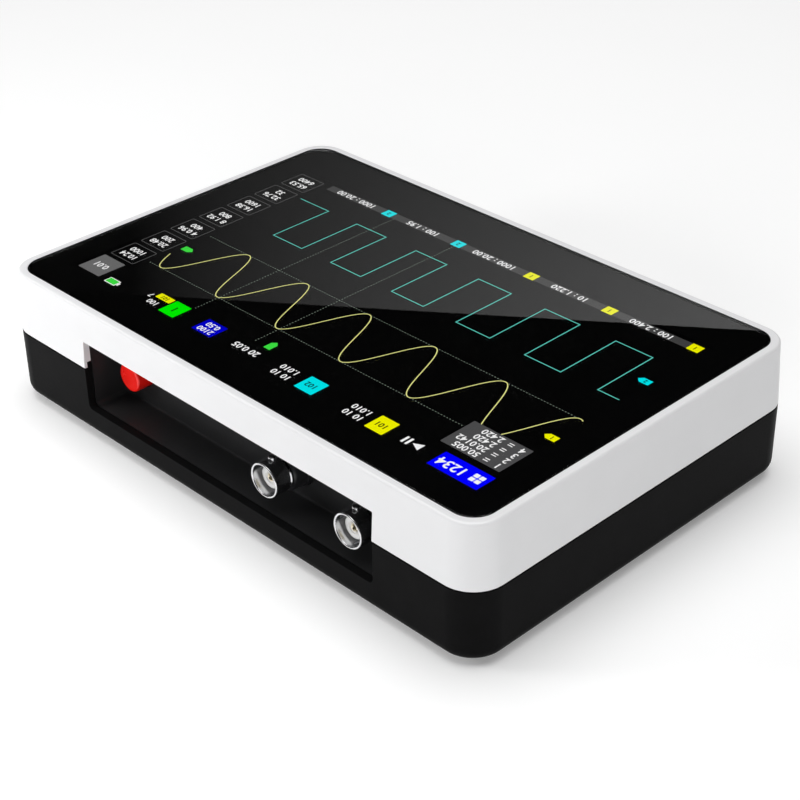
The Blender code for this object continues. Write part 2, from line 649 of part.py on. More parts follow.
def make_ribbons(film, plastic):
    half = RIBBON_THICKNESS / 2
    low = ON_BOARD + SOCKET_HEIGHT + GAP + half
    top = BACKLIGHT_BOTTOM - GAP - half
    y = DISPLAY_RIBBON_Y
    path = [(y + DISPLAY_RIBBON_FLAT + RIBBON_BEND, top)]
    path += bend(y + RIBBON_BEND, top - RIBBON_BEND, pi / 2, pi)
    path += bend(y - RIBBON_BEND, low + RIBBON_BEND, 0.0, -pi / 2)
    path.append((y - RIBBON_BEND - SOCKET_DEPTH, low))
    wide = DISPLAY_RIBBON_WIDTH / 2
    make_ribbon("display_ribbon", path, -wide, wide, film)
    block("display_socket", -wide - 1.0, wide + 1.0, y - RIBBON_BEND - SOCKET_DEPTH,
          y - RIBBON_BEND, ON_BOARD, ON_BOARD + SOCKET_HEIGHT, plastic)

    x0, x1 = TOUCH_RIBBON_X - TOUCH_RIBBON_WIDTH / 2, TOUCH_RIBBON_X + TOUCH_RIBBON_WIDTH / 2
    top = GLASS_BOTTOM - GAP - half
    drop = -WINDOW_DEPTH / 2 - 1.3
    turn_radius = 1.0
    path = [(drop + turn_radius + 0.3, top)]
    path += bend(drop + turn_radius, top - turn_radius, pi / 2, pi, turn_radius, 4)
    path += bend(drop + RIBBON_BEND, low + RIBBON_BEND, pi, 3 * pi / 2)
    path.append((BOARD_REAR + 1.0 + SOCKET_DEPTH, low))
    make_ribbon("touch_ribbon", path, x0, x1, film)
    block("touch_socket", x0 - 1.0, x1 + 1.0, BOARD_REAR + 1.0, BOARD_REAR + 1.0 + SOCKET_DEPTH,
          ON_BOARD, ON_BOARD + SOCKET_HEIGHT, plastic)


# ---- Channel jacks -------------------------------------------------------------------------------

def make_jack(number, x, chrome, housing, ptfe, gold):
    at = (x, JACK_FRONT, AXIS_HEIGHT)
    edge = 0.15
    neck_end = -JACK_RIM_LENGTH - JACK_NECK_LENGTH
    profile = [(JACK_BORE_RADIUS, -edge), (JACK_BORE_RADIUS + edge, 0.0),
               (JACK_RIM_RADIUS - edge, 0.0), (JACK_RIM_RADIUS, -edge),
               (JACK_RIM_RADIUS, -JACK_RIM_LENGTH), (JACK_NECK_RADIUS, -JACK_RIM_LENGTH),
               (JACK_NECK_RADIUS, neck_end), (JACK_NECK_BORE, neck_end),
               (JACK_NECK_BORE, -JACK_RIM_LENGTH), (JACK_BORE_RADIUS, -JACK_RIM_LENGTH + 0.8)]
    shell = turned(f"jack_shell_{number}", profile, chrome, at, closed=True, along="Y")
    bm = bmesh.new()
    for side in (-1, 1):
        rings = [(side * (JACK_BORE_RADIUS + 0.25), LUG_RADIUS),
                 (side * (JACK_RIM_RADIUS + LUG_REACH - 0.2), LUG_RADIUS),
                 (side * (JACK_RIM_RADIUS + LUG_REACH), LUG_RADIUS - 0.2)]
        levels = [(z, circle(0.0, -LUG_SET_BACK, radius)) for z, radius in rings]
        loft(bm, levels)
    lugs = tool(f"jack_lugs_{number}", bm)
    lugs.location = shell.location
    boolean(shell, lugs, "UNION")

    front, rear = HOUSING_FRONT, HOUSING_REAR
    half = HOUSING_WIDTH / 2
    body = rounded_outline(x - half, x + half, ON_BOARD, AXIS_HEIGHT + half, HOUSING_CORNER, 3)
    base = lofted(f"jack_housing_{number}", [(rear, body), (front, body)], housing, along="Y")
    collar_tip = RECESS_BACK + COLLAR_REACH
    step = RECESS_BACK + COLLAR_STEP
    add(base, f"jack_collar_{number}",
        [([(front - 1.0, circle(x, AXIS_HEIGHT, COLLAR_RADIUS, ROUND_STEPS)),
           (step, circle(x, AXIS_HEIGHT, COLLAR_RADIUS, ROUND_STEPS)),
           (collar_tip - 1.0, circle(x, AXIS_HEIGHT, COLLAR_TIP_RADIUS + COLLAR_TAPER, ROUND_STEPS)),
           (collar_tip, circle(x, AXIS_HEIGHT, COLLAR_TIP_RADIUS, ROUND_STEPS))], "Y")])
    neck_rear = JACK_FRONT + neck_end - GAP
    cut(base, f"jack_housing_bore_{number}",
        [straight(circle(x, AXIS_HEIGHT, JACK_NECK_RADIUS + GAP, ROUND_STEPS),
                  neck_rear, collar_tip + OVERCUT, "Y")])
    cut(base, f"jack_insulator_bore_{number}",
        [straight(circle(x, AXIS_HEIGHT, INSULATOR_RADIUS + GAP, ROUND_STEPS),
                  rear + HOUSING_BACK_WALL, neck_rear + 1.0, "Y")])

    insulator_rear = rear + HOUSING_BACK_WALL + GAP - JACK_FRONT
    face = -INSULATOR_SET_BACK
    bore = CONTACT_RADIUS + GAP
    turned(f"jack_insulator_{number}",
           [(bore, face), (INSULATOR_RADIUS - 0.2, face), (INSULATOR_RADIUS, face - 0.2),
            (INSULATOR_RADIUS, insulator_rear), (bore, insulator_rear)],
           ptfe, at, closed=True, along="Y")
    turned(f"jack_contact_{number}",
           [(0.0, face - CONTACT_SOCKET_DEPTH), (CONTACT_BORE, face - CONTACT_SOCKET_DEPTH),
            (CONTACT_BORE, face), (CONTACT_RADIUS - 0.1, face), (CONTACT_RADIUS, face - 0.1),
            (CONTACT_RADIUS, insulator_rear), (0.0, insulator_rear)],
           gold, at, steps=POST_STEPS, along="Y")


# ---- Power button --------------------------------------------------------------------------------

def make_power_button(red, stem_plastic, switch_plastic):
    flange_front = BEZEL_BACK - GAP - BUTTON_FACE
    flange_back = flange_front - BUTTON_FLANGE_THICKNESS
    profile = [(0.0, 0.0)]
    for step in range(EDGE_STEPS + 1):
        angle = pi / 2 - step * pi / 2 / EDGE_STEPS
        profile.append((BUTTON_RADIUS - BUTTON_EDGE_RADIUS * (1 - cos(angle)),
                        -BUTTON_EDGE_RADIUS * (1 - sin(angle))))
    profile += [(BUTTON_RADIUS, flange_front), (BUTTON_RADIUS + BUTTON_FLANGE, flange_front),
                (BUTTON_RADIUS + BUTTON_FLANGE, flange_back), (0.0, flange_back)]
    turned("power_button", profile, red, (BUTTON_X, BUTTON_FACE, AXIS_HEIGHT), along="Y")

    stem_front = BUTTON_FACE + flange_back - GAP
    half = STEM_WIDTH / 2
    stem = rounded_outline(BUTTON_X - half, BUTTON_X + half, AXIS_HEIGHT - half,
                           AXIS_HEIGHT + half, 0.2, 2)
    lofted("switch_stem", [(stem_front - STEM_LENGTH, stem), (stem_front, stem)],
           stem_plastic, along="Y")
    switch_front = stem_front - BUTTON_TRAVEL - 2 * GAP
    half = SWITCH_WIDTH / 2
    body = rounded_outline(BUTTON_X - half, BUTTON_X + half, ON_BOARD,
                           AXIS_HEIGHT + SWITCH_ABOVE_AXIS, 0.5, 3)
    switch = lofted("switch_body", [(switch_front - SWITCH_LENGTH, body), (switch_front, body)],
                    switch_plastic, along="Y")
    half = STEM_WIDTH / 2 + GAP
    hole = rounded_outline(BUTTON_X - half, BUTTON_X + half, AXIS_HEIGHT - half,
                           AXIS_HEIGHT + half, 0.3, 2)
    cut(switch, "switch_stem_hole",
        [straight(hole, stem_front - STEM_LENGTH - BUTTON_TRAVEL - GAP,
                  switch_front + OVERCUT, "Y")])


# ---- Charging port -------------------------------------------------------------------------------

def make_charging_port(steel, plastic, green):
    front = RECESS_BACK - 0.2
    rear = front - USB_LENGTH
    half_width, half_height = USB_WIDTH / 2, USB_HEIGHT / 2
    round_end = half_height - 0.1
    outer = rounded_outline(USB_X - half_width, USB_X + half_width,
                            USB_AXIS - half_height, USB_AXIS + half_height, round_end)
    socket = lofted("usb_socket", [(rear, outer), (front, outer)], steel, along="Y")
    inner_width, inner_height = half_width - USB_WALL, half_height - USB_WALL
    inner = rounded_outline(USB_X - inner_width, USB_X + inner_width, USB_AXIS - inner_height,
                            USB_AXIS + inner_height, round_end - USB_WALL)
    cut(socket, "usb_hollow", [straight(inner, rear + USB_WALL, front + OVERCUT, "Y")])

    base_rear = rear + USB_WALL + GAP
    fit_width, fit_height = inner_width - GAP, inner_height - GAP
    seat = rounded_outline(USB_X - fit_width, USB_X + fit_width, USB_AXIS - fit_height,
                           USB_AXIS + fit_height, fit_height - 0.1)
    tongue = lofted("usb_tongue", [(base_rear, seat), (base_rear + USB_BASE_THICKNESS, seat)],
                    plastic, along="Y")
    blade_width, blade_height = USB_TONGUE_WIDTH / 2, USB_TONGUE_HEIGHT / 2
    blade = rounded_outline(USB_X - blade_width, USB_X + blade_width, USB_AXIS - blade_height,
                            USB_AXIS + blade_height, 0.2, 2)
    add(tongue, "usb_blade", [straight(blade, base_rear + 0.5, front - 1.0, "Y")])

    half = CHARGER_WIDTH / 2
    block("charger_board", USB_X - half, USB_X + half, BOARD_FRONT - CHARGER_DEPTH, BOARD_FRONT,
          CHARGER_BOTTOM, CHARGER_TOP, green, 0.8)
    block("charger_header", USB_X - half + 1.0, USB_X + half - 1.0,
          BOARD_FRONT - CHARGER_DEPTH + 1.0, BOARD_FRONT - CHARGER_DEPTH + 1.0 + HEADER_DEPTH,
          ON_BOARD, ON_BOARD + HEADER_HEIGHT, plastic)


# ---- Main board and what is on it ----------------------------------------------------------------

def make_main_board(green, chip, tin, relay_case, crystal_metal, ferrite):
    outline = rounded_outline(-BOARD_HALF_WIDTH, BOARD_HALF_WIDTH, BOARD_REAR, BOARD_FRONT, 2.0, 3)
    board = lofted("main_board", [(BOARD_BOTTOM, outline), (BOARD_TOP, outline)], green)
    cut(board, "board_screw_holes",
        [straight(circle(x, y, SCREW_RADIUS + GAP), BOARD_BOTTOM - 1.0, BOARD_TOP + 1.0)
         for x, y in BOARD_SCREWS])

    can_rear = HOUSING_REAR - BOARD_CLEARANCE - CAN_DEPTH
    for number, x in enumerate(JACK_XS, 1):
        x0, x1 = x - CAN_WIDTH / 2, x + CAN_WIDTH / 2
        y0, y1 = can_rear, can_rear + CAN_DEPTH
        can = block(f"shield_can_{number}", x0, x1, y0, y1, ON_BOARD, ON_BOARD + CAN_HEIGHT, tin, 1.0)
        hollow = rounded_outline(x0 + CAN_WALL, x1 - CAN_WALL, y0 + CAN_WALL, y1 - CAN_WALL, 0.5, 2)
        cut(can, f"can_hollow_{number}",
            [straight(hollow, ON_BOARD - 1.0, ON_BOARD + CAN_HEIGHT - CAN_WALL)])
        width, depth, height = RELAY_SIZE
        relay_front = y1 - RELAY_BEHIND_CAN
        block(f"relay_{number}", x - width / 2, x + width / 2, relay_front - depth, relay_front,
              ON_BOARD, ON_BOARD + height, relay_case, 0.5)
        width, depth, height = CONVERTER_SIZE
        rear = y0 + CONVERTER_FROM_CAN
        block(f"converter_{number}", x - width / 2, x + width / 2, rear, rear + depth,
              ON_BOARD, ON_BOARD + height, chip, 0.3)

    row = BOARD_FRONT - CHIP_ROW
    chips = (("logic_array", LOGIC_X, LOGIC_SIZE), ("processor", PROCESSOR_X, PROCESSOR_SIZE),
             ("memory_chip", MEMORY_X, MEMORY_SIZE))
    for name, x, size in chips:
        block(name, x, x + size, row - size, row, ON_BOARD, ON_BOARD + CHIP_HEIGHT, chip, 0.3)
    width, depth, height = CRYSTAL_SIZE
    front = row - CRYSTAL_BEHIND_ROW
    block("clock_crystal", CRYSTAL_X, CRYSTAL_X + width, front - depth, front,
          ON_BOARD, ON_BOARD + height, crystal_metal, 0.5)
    width, depth, height = INDUCTOR_SIZE
    front = row - INDUCTOR_BEHIND_ROW
    block("power_inductor", INDUCTOR_X, INDUCTOR_X + width, front - depth, front,
          ON_BOARD, ON_BOARD + height, ferrite, 1.5)


# ---- Battery -------------------------------------------------------------------------------------

def make_battery(wrap, plastic, red_wire, black_wire):
    half = BATTERY_WIDTH / 2
    pack = rounded_outline(-half, half, BATTERY_REAR, BATTERY_FRONT, BATTERY_CORNER)
    edge = 0.8
    slim = rounded_outline(-half + edge, half - edge, BATTERY_REAR + edge, BATTERY_FRONT - edge,
                           BATTERY_CORNER - edge)
    lofted("battery_pack", [(BATTERY_BOTTOM, slim), (BATTERY_BOTTOM + edge, pack),
                            (BATTERY_TOP - edge, pack), (BATTERY_TOP, slim)], wrap)
    socket_x = -BOARD_HALF_WIDTH + PLUG_FROM_BOARD_END
    plug_rear = BOARD_REAR + 1.0
    plug_top = ON_BOARD + PLUG_HEIGHT
    block("battery_plug", socket_x - PLUG_WIDTH / 2, socket_x + PLUG_WIDTH / 2, plug_rear,
          plug_rear + PLUG_DEPTH, ON_BOARD, plug_top, plastic)
    wire_height = (ON_BOARD + plug_top) / 2
    exit_y = BATTERY_FRONT - LEAD_EXIT_FROM_FRONT
    exit_z = BATTERY_TOP - LEAD_EXIT_BELOW_TOP
    lean_x = socket_x + LEAD_LEAN
    for name, side, finish in (("battery_lead_red", -1, red_wire), ("battery_lead_black", 1, black_wire)):
        shift = side * LEAD_SPACING / 2
        end = Vector((socket_x + shift, plug_rear - GAP, wire_height))
        start = Vector((-half - GAP, exit_y + shift, exit_z))
        points = curve_points(start, Vector((lean_x, start.y, exit_z + 2.0)),
                              Vector((end.x, end.y - 9.0, wire_height + 1.0)), end, 14)
        make_wire(name, points, LEAD_RADIUS, finish)


def curve_points(start, pull, draw, end, count):
    """Points on the smooth curve that leaves start towards pull and reaches end from draw."""
    points = []
    for i in range(count + 1):
        t = i / count
        points.append((1 - t) ** 3 * start + 3 * (1 - t) ** 2 * t * pull
                      + 3 * (1 - t) * t ** 2 * draw + t ** 3 * end)
    return points


def make_wire(name, points, radius, finish):
    curve = bpy.data.curves.new(name, "CURVE")
    curve.dimensions = "3D"
    curve.bevel_depth = radius * MM
    curve.bevel_resolution = 2
    curve.use_fill_caps = True
    curve.render_resolution_u = 0
    spline = curve.splines.new("POLY")
    spline.points.add(len(points) - 1)
    for target, point in zip(spline.points, points):
        target.co = (*(point * MM), 1.0)
    curve.materials.append(finish)
    item = bpy.data.objects.new(name, curve)
    bpy.context.scene.collection.objects.link(item)
    return item


# ---- The whole instrument ------------------------------------------------------------------------

def main():
    clear_scene()
    white = finish_material("white_case", (0.84, 0.84, 0.85), 0.32)
    black = finish_material("black_case", (0.018, 0.018, 0.020), 0.42)
    bezel_black = finish_material("bezel_black", (0.012, 0.012, 0.013), 0.5)
    rubber = finish_material("foot_rubber", (0.02, 0.02, 0.02), 0.85)
    glass = finish_material("screen_glass", (0.005, 0.005, 0.006), 0.05, alpha=0.6)
    foam = finish_material("gasket_foam", (0.03, 0.03, 0.03), 0.9)
    panel = finish_material("lcd_black", (0.004, 0.004, 0.005), 0.15)
    steel = finish_material("sheet_steel", (0.55, 0.56, 0.57), 0.4, 1.0)
    chrome = finish_material("nickel_plate", (0.72, 0.72, 0.73), 0.16, 1.0)
    housing = finish_material("jack_plastic", (0.015, 0.015, 0.016), 0.35)
    ptfe = finish_material("jack_insulator", (0.78, 0.78, 0.77), 0.45)
    gold = finish_material("gold_plate", (0.83, 0.62, 0.24), 0.22, 1.0)
    red = finish_material("button_red", (0.85, 0.03, 0.02), 0.3)
    pale = finish_material("pale_plastic", (0.75, 0.74, 0.7), 0.5)
    green = finish_material("board_green", (0.02, 0.16, 0.06), 0.4)
    chip = finish_material("chip_epoxy", (0.03, 0.03, 0.032), 0.55)
    tin = finish_material("tinned_steel", (0.62, 0.62, 0.6), 0.35, 1.0)
    ferrite = finish_material("ferrite_grey", (0.09, 0.09, 0.09), 0.7)
    film = finish_material("flex_film", (0.5, 0.22, 0.03), 0.35)
    wrap = finish_material("battery_wrap", (0.12, 0.2, 0.42), 0.4)
    red_wire = finish_material("wire_red", (0.6, 0.02, 0.02), 0.45)
    black_wire = finish_material("wire_black", (0.02, 0.02, 0.02), 0.45)

    make_upper_casing(white)
    make_lower_casing(black)
    make_port_bezel(bezel_black)
    make_feet(rubber)
    make_screen(glass, foam, panel, steel, steel)
    make_ribbons(film, pale)
    for number, x in enumerate(JACK_XS, 1):
        make_jack(number, x, chrome, housing, ptfe, gold)
    make_power_button(red, pale, chip)
    make_charging_port(steel, chip, green)
    make_main_board(green, chip, tin, pale, tin, ferrite)
    make_battery(wrap, pale, red_wire, black_wire)
    make_screws("case_screw", CASE_SCREWS, CASE_SCREW_LENGTH - GAP, CASE_SCREW_SEAT - GAP, -1, steel)
    make_screws("board_screw", BOARD_SCREWS, BOARD_SCREW_LENGTH, ON_BOARD, 1, steel)
    make_screws("bracket_screw", BRACKET_SCREWS, BRACKET_SCREW_LENGTH, BRACKET_BOTTOM - GAP, -1, steel)


main()
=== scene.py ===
from math import cos, pi, radians, sin

import bmesh
import bpy
from mathutils import Matrix, Vector


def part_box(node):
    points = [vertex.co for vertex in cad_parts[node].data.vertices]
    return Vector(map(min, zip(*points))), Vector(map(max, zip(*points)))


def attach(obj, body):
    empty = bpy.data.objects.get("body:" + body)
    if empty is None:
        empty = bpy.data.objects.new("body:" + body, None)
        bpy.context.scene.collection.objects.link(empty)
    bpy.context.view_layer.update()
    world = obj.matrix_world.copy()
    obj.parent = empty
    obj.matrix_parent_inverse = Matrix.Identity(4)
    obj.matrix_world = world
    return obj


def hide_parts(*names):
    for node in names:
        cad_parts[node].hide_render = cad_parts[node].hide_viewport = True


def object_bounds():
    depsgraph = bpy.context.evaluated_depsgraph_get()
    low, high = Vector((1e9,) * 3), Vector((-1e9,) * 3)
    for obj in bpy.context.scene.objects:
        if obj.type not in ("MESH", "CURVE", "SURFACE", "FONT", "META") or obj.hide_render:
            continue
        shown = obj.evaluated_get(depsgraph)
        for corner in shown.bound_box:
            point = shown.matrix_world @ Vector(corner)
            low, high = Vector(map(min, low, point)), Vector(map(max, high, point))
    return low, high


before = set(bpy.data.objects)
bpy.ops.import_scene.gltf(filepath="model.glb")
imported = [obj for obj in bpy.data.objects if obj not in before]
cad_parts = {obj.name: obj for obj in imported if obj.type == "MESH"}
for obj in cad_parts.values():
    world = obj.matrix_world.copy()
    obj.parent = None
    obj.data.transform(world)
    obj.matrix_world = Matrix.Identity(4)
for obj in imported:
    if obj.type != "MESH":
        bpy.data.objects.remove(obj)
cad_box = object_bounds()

scene = bpy.context.scene
MM = 0.001

# ---- Sizes, in millimetres, that the frame doesn't give ----

CORNER = 9.5
WALL = 2.2
TOP_RADIUS = 0.8
UPPER_DRAFT = 1.0
BOTTOM_RADIUS = 3.3
GAP = 0.3
SEAM_CHAMFER = 0.12
LIP = 0.95
LIP_HEIGHT = 1.5
LEDGE = 1.5
GLASS_CORNER = 6.0
NOTCH_EDGE = 0.22
RECESS_CORNER = 1.4
RECESS_FILLET = 0.7
FLOOR_THICKNESS = 2.2
SCREW_INSET = 7.5
SCREW_BORE = 2.2
SCREW_SEAT = 10.0
UPPER_POST = 5.6
LOWER_POST = 3.4
FOOT_INSET = 18.0
FOOT_RADIUS = 5.0
FOOT_POCKET = 1.7
JACK_RIM = 4.85
JACK_BORE = 4.2
JACK_RIM_LENGTH = 5.4
JACK_NECK = 4.2
JACK_NECK_BORE = 3.4
LUG_RADIUS = 1.0
LUG_SET_BACK = 3.2
COLLAR = 6.0
COLLAR_TIP = 5.2
INSULATOR = 3.1
CONTACT = 1.1
BUTTON = 4.2
BUTTON_FLANGE = 1.0
WINDOW_CORNER = 1.0
NOTCH_CORNER = 0.3
RIM_EDGE = 0.15
POCKET_EDGE = 0.25
SCREW_HOLE = 1.3
BEZEL_WALL = 1.5
BEZEL_CEILING = 1.2
OVERSHOOT = 5.0

CORNER_STEPS = 20
EDGE_STEPS = 8
TURN_STEPS = 96
SHARP = 35

BLACK = (0.0, 0.0, 0.0)
PRINT = (0.0012, 0.0012, 0.0012)


def span(node):
    """A CAD node's lowest and highest corners in millimetres."""
    low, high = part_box(node)
    return low / MM, high / MM


case_high = cad_box[1] / MM
HALF_WIDTH, HALF_DEPTH, TOP = case_high
SEAM_TOP = span("upper_casing")[0].z
lower_low, lower_high = span("lower_casing")
glass_low, glass_high = span("cover_glass")
lcd_high = span("lcd_panel")[1]
gasket_low = span("glass_gasket")[0]
bezel_low, bezel_high = span("port_bezel")
RECESS_X0, RECESS_X1 = bezel_low.x + BEZEL_WALL, bezel_high.x - BEZEL_WALL
RECESS_Z0, RECESS_Z1 = bezel_low.z + BEZEL_WALL, bezel_high.z - BEZEL_CEILING
RECESS_BACK = bezel_low.y + BEZEL_WALL
SEAM_BOTTOM = lower_high.z - LIP_HEIGHT - GAP / 2


# ---- Mesh helpers ----

def rounded(x0, x1, y0, y1, radius, steps=CORNER_STEPS):
    """A rectangle with round corners, anticlockwise."""
    corners = ((x1 - radius, y1 - radius, 0.0), (x0 + radius, y1 - radius, pi / 2),
               (x0 + radius, y0 + radius, pi), (x1 - radius, y0 + radius, 3 * pi / 2))
    points = []
    for cx, cy, start in corners:
        for step in range(steps + 1):
            angle = start + step * pi / 2 / steps
            points.append((cx + radius * cos(angle), cy + radius * sin(angle)))
    return points


def centred(half_width, half_depth, radius):
    return rounded(-half_width, half_width, -half_depth, half_depth, radius)


def case_outline(inset):
    return centred(HALF_WIDTH - inset, HALF_DEPTH - inset, CORNER - inset)


def circle(cx, cy, radius, steps=48):
    return [(cx + radius * cos(2 * pi * i / steps), cy + radius * sin(2 * pi * i / steps))
            for i in range(steps)]


def bridge(bm, lower, upper):
    count = len(lower)
    for i in range(count):
        j = (i + 1) % count
        bm.faces.new((lower[i], lower[j], upper[j], upper[i]))


def loft(bm, levels, along="Z", closed=False):
    """Skins outlines of equal point count, given as (distance, outline); caps them or closes up."""
    rings = []
    for distance, outline in levels:
        if along == "Z":
            rings.append([bm.verts.new((a, b, distance)) for a, b in outline])
        else:
            rings.append([bm.verts.new((a, distance, b)) for a, b in outline])
    for lower, upper in zip(rings, rings[1:]):
        bridge(bm, lower, upper)
    if closed:
        bridge(bm, rings[-1], rings[0])
    else:
        bm.faces.new(rings[0])
        bm.faces.new(rings[-1])


def turned(name, profile, centre=(0.0, 0.0, 0.0), steps=TURN_STEPS, closed=False, along="Y",
           sharp=SHARP):
    """A profile of (radius, distance) turned about an axis through a centre point."""
    bm = bmesh.new()
    rings = []
    for radius, distance in profile:
        ring = []
        for a, b in circle(0.0, 0.0, radius, steps if radius > 0 else 1):
            point = (a, b, distance) if along == "Z" else (a, distance, b)
            ring.append(bm.verts.new(Vector(point) + Vector(centre)))
        rings.append(ring)
    pairs = list(zip(rings, rings[1:]))
    if closed:
        pairs.append((rings[-1], rings[0]))
    for first, second in pairs:
        if len(first) == 1:
            for i in range(steps):
                bm.faces.new((first[0], second[i], second[(i + 1) % steps]))
        elif len(second) == 1:
            for i in range(steps):
                bm.faces.new((second[0], first[(i + 1) % steps], first[i]))
        else:
            bridge(bm, first, second)
    return show(name, mesh_of(bm, name, sharp))


def skinned(name, levels, along="Z", closed=False, sharp=SHARP):
    """A piece whose skin runs over outlines, given as loft takes them."""
    bm = bmesh.new()
    loft(bm, levels, along, closed)
    return show(name, mesh_of(bm, name, sharp))


def arc(radius, start, end, steps=EDGE_STEPS, cx=0.0, cy=0.0):
    """Points on an arc, in degrees from the first axis."""
    angles = [radians(start + (end - start) * i / steps) for i in range(steps + 1)]
    return [(cx + radius * cos(angle), cy + radius * sin(angle)) for angle in angles]


def mesh_of(bm, name, sharp=SHARP):
    bmesh.ops.recalc_face_normals(bm, faces=bm.faces)
    bmesh.ops.scale(bm, vec=Vector((MM, MM, MM)), verts=bm.verts)
    mesh = bpy.data.meshes.new(name)
    bm.to_mesh(mesh)
    bm.free()
    mesh.shade_smooth()
    mesh.set_sharp_from_angle(angle=radians(sharp))
    return mesh


def show(name, data):
    item = bpy.data.objects.new(name, data)
    scene.collection.objects.link(item)
    return item


def applied(item, name=None):
    """A plain mesh object with the item's modifiers worked in; the item goes."""
    bpy.context.view_layer.update()
    graph = bpy.context.evaluated_depsgraph_get()
    mesh = bpy.data.meshes.new_from_object(item.evaluated_get(graph), depsgraph=graph)
    title = name or item.name
    bpy.data.objects.remove(item, do_unlink=True)
    mesh.name = title
    return show(title, mesh)


def combine(item, tool, operation):
    """Works a tool object into an item and removes the tool."""
    name = item.name
    step = item.modifiers.new("combine", "BOOLEAN")
    step.operation = operation
    step.solver = "EXACT"
    step.object = tool
    item.name = name + "_raw"
    result = applied(item, name)
    bpy.data.objects.remove(tool, do_unlink=True)
    return result


def carve(item, shapes, operation="DIFFERENCE"):
    """Cuts shapes, each (levels, axis), out of an item, or joins them to it."""
    bm = bmesh.new()
    for levels, along in shapes:
        loft(bm, levels, along)
    return combine(item, show(item.name + "_tool", mesh_of(bm, item.name + "_tool")), operation)


def straight(outline, low, high, along="Z"):
    return [(low, outline), (high, outline)], along


def hollow(outer, inner, low, high):
    """Levels for a closed frame between two outlines."""
    return [(low, outer), (high, outer), (high, inner), (low, inner)]


def crisp(item):
    """Sets the sharp edges again after a cut."""
    item.data.set_sharp_from_angle(angle=radians(SHARP))
    return item


def rod(x, y, radius, low, high, steps=48, along="Z"):
    return straight(circle(x, y, radius, steps), low, high, along)


def soften(item, picks, width):
    """Rounds the edges that a test picks, given an edge's two ends in millimetres."""
    bm = bmesh.new()
    bm.from_mesh(item.data)
    bmesh.ops.remove_doubles(bm, verts=bm.verts, dist=1e-6)
    edges = [e for e in bm.edges if picks(e.verts[0].co / MM, e.verts[1].co / MM)]
    bmesh.ops.bevel(bm, geom=edges, offset=width * MM, segments=3, profile=0.5,
                    affect="EDGES", clamp_overlap=True)
    bm.to_mesh(item.data)
    bm.free()
    item.data.shade_smooth()
    crisp(item)


def even_normals(item):
    """Flat faces stay flat where they meet a rounded edge."""
    step = item.modifiers.new("even_normals", "WEIGHTED_NORMAL")
    step.keep_sharp = True
    step.weight = 80
    return applied(item)


def finish_piece(item, material, nodes=(), body="body"):
    item.data.materials.clear()
    item.data.materials.append(material)
    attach(item, body)
    if nodes:
        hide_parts(*nodes)


# ---- Material maths ----

def add_node(tree, kind, settings, values):
    """A new node. Values go by socket name or number, and one that is a socket is linked."""
    made = tree.nodes.new(kind)
    for key, value in (settings or {}).items():
        setattr(made, key, value)
    for key, value in values.items():
        target = made.inputs[key.replace("_", " ") if isinstance(key, str) else key]
        value = getattr(value, "socket", value)
        if isinstance(value, bpy.types.NodeSocket):
            tree.links.new(value, target)
        else:
            target.default_value = value
    return made


class Value:
    """One socket of a material, so that shader maths reads as ordinary Python."""

    def __init__(self, shade, socket):
        self.shade = shade
        self.socket = socket

    def __add__(self, other):
        return self.shade.node("ShaderNodeMath", {"operation": "ADD"}, self, other)

    def __mul__(self, other):
        return self.shade.node("ShaderNodeMath", {"operation": "MULTIPLY"}, self, other)


class Shade:
    """A material under construction, with one Principled shader."""

    def __init__(self, name, colour, roughness, metallic=0.0, **constants):
        self.material = bpy.data.materials.new(name)
        self.material.use_nodes = True
        self.tree = self.material.node_tree
        self.shader = self.tree.nodes["Principled BSDF"]
        self.material.diffuse_color = (*colour, 1.0)
        settings = {"Base Color": (*colour, 1.0), "Roughness": roughness, "Metallic": metallic}
        settings.update(constants)
        for key, value in settings.items():
            self.shader.inputs[key.replace("_", " ")].default_value = value
        self.colour = colour

    def node(self, kind, settings=None, *values, out=0, **named):
        made = add_node(self.tree, kind, settings, {**dict(enumerate(values)), **named})
        return Value(self, made.outputs[out])

    def place(self, scale=(1.0, 1.0, 1.0)):
        """Object coordinates, scaled."""
        spot = self.node("ShaderNodeTexCoord", out=3)
        return self.node("ShaderNodeMapping", None, Vector=spot, Scale=scale)

    def noise(self, where, size_mm, detail=3.0, rough=0.55):
        """Noise from 0 to 1 whose blobs are about size_mm across."""
        return self.node("ShaderNodeTexNoise", None, Vector=where, Scale=1.0 / (size_mm * MM),
                         Detail=detail, Roughness=rough)

    def ramp(self, value, low, high):
        """Spreads low..high over 0..1."""
        return self.node("ShaderNodeMapRange", {"clamp": True}, value, low, high, 0.0, 1.0)

    def blend(self, factor, first, second):
        values = {0: factor}
        for index, colour in ((6, first), (7, second)):
            values[index] = colour if isinstance(colour, Value) else (*colour, 1.0)
        made = add_node(self.tree, "ShaderNodeMix", {"data_type": "RGBA"}, values)
        return Value(self, made.outputs[2])

    def feed(self, socket, value):
        self.tree.links.new(value.socket, self.shader.inputs[socket])

    def bump(self, height, depth_mm, strength=1.0):
        bumped = self.node("ShaderNodeBump", None, Strength=strength, Distance=depth_mm * MM,
                           Height=height)
        self.feed("Normal", bumped)

    def mottle(self, amount, size_mm, where=None):
        """Lets the colour drift by a share of itself, as pigment does."""
        drift = self.ramp(self.noise(where or self.place(), size_mm, 2.0), 0.3, 0.7)
        dark = tuple(c * (1 - amount) for c in self.colour)
        light = tuple(min(c * (1 + amount), 1.0) for c in self.colour)
        self.feed("Base Color", self.blend(drift, dark, light))

    def vary_roughness(self, low, high, size_mm, where=None):
        cloud = self.ramp(self.noise(where or self.place(), size_mm, 4.0), 0.3, 0.7)
        self.feed("Roughness", cloud * (high - low) + low)


# ---- Finishes ----

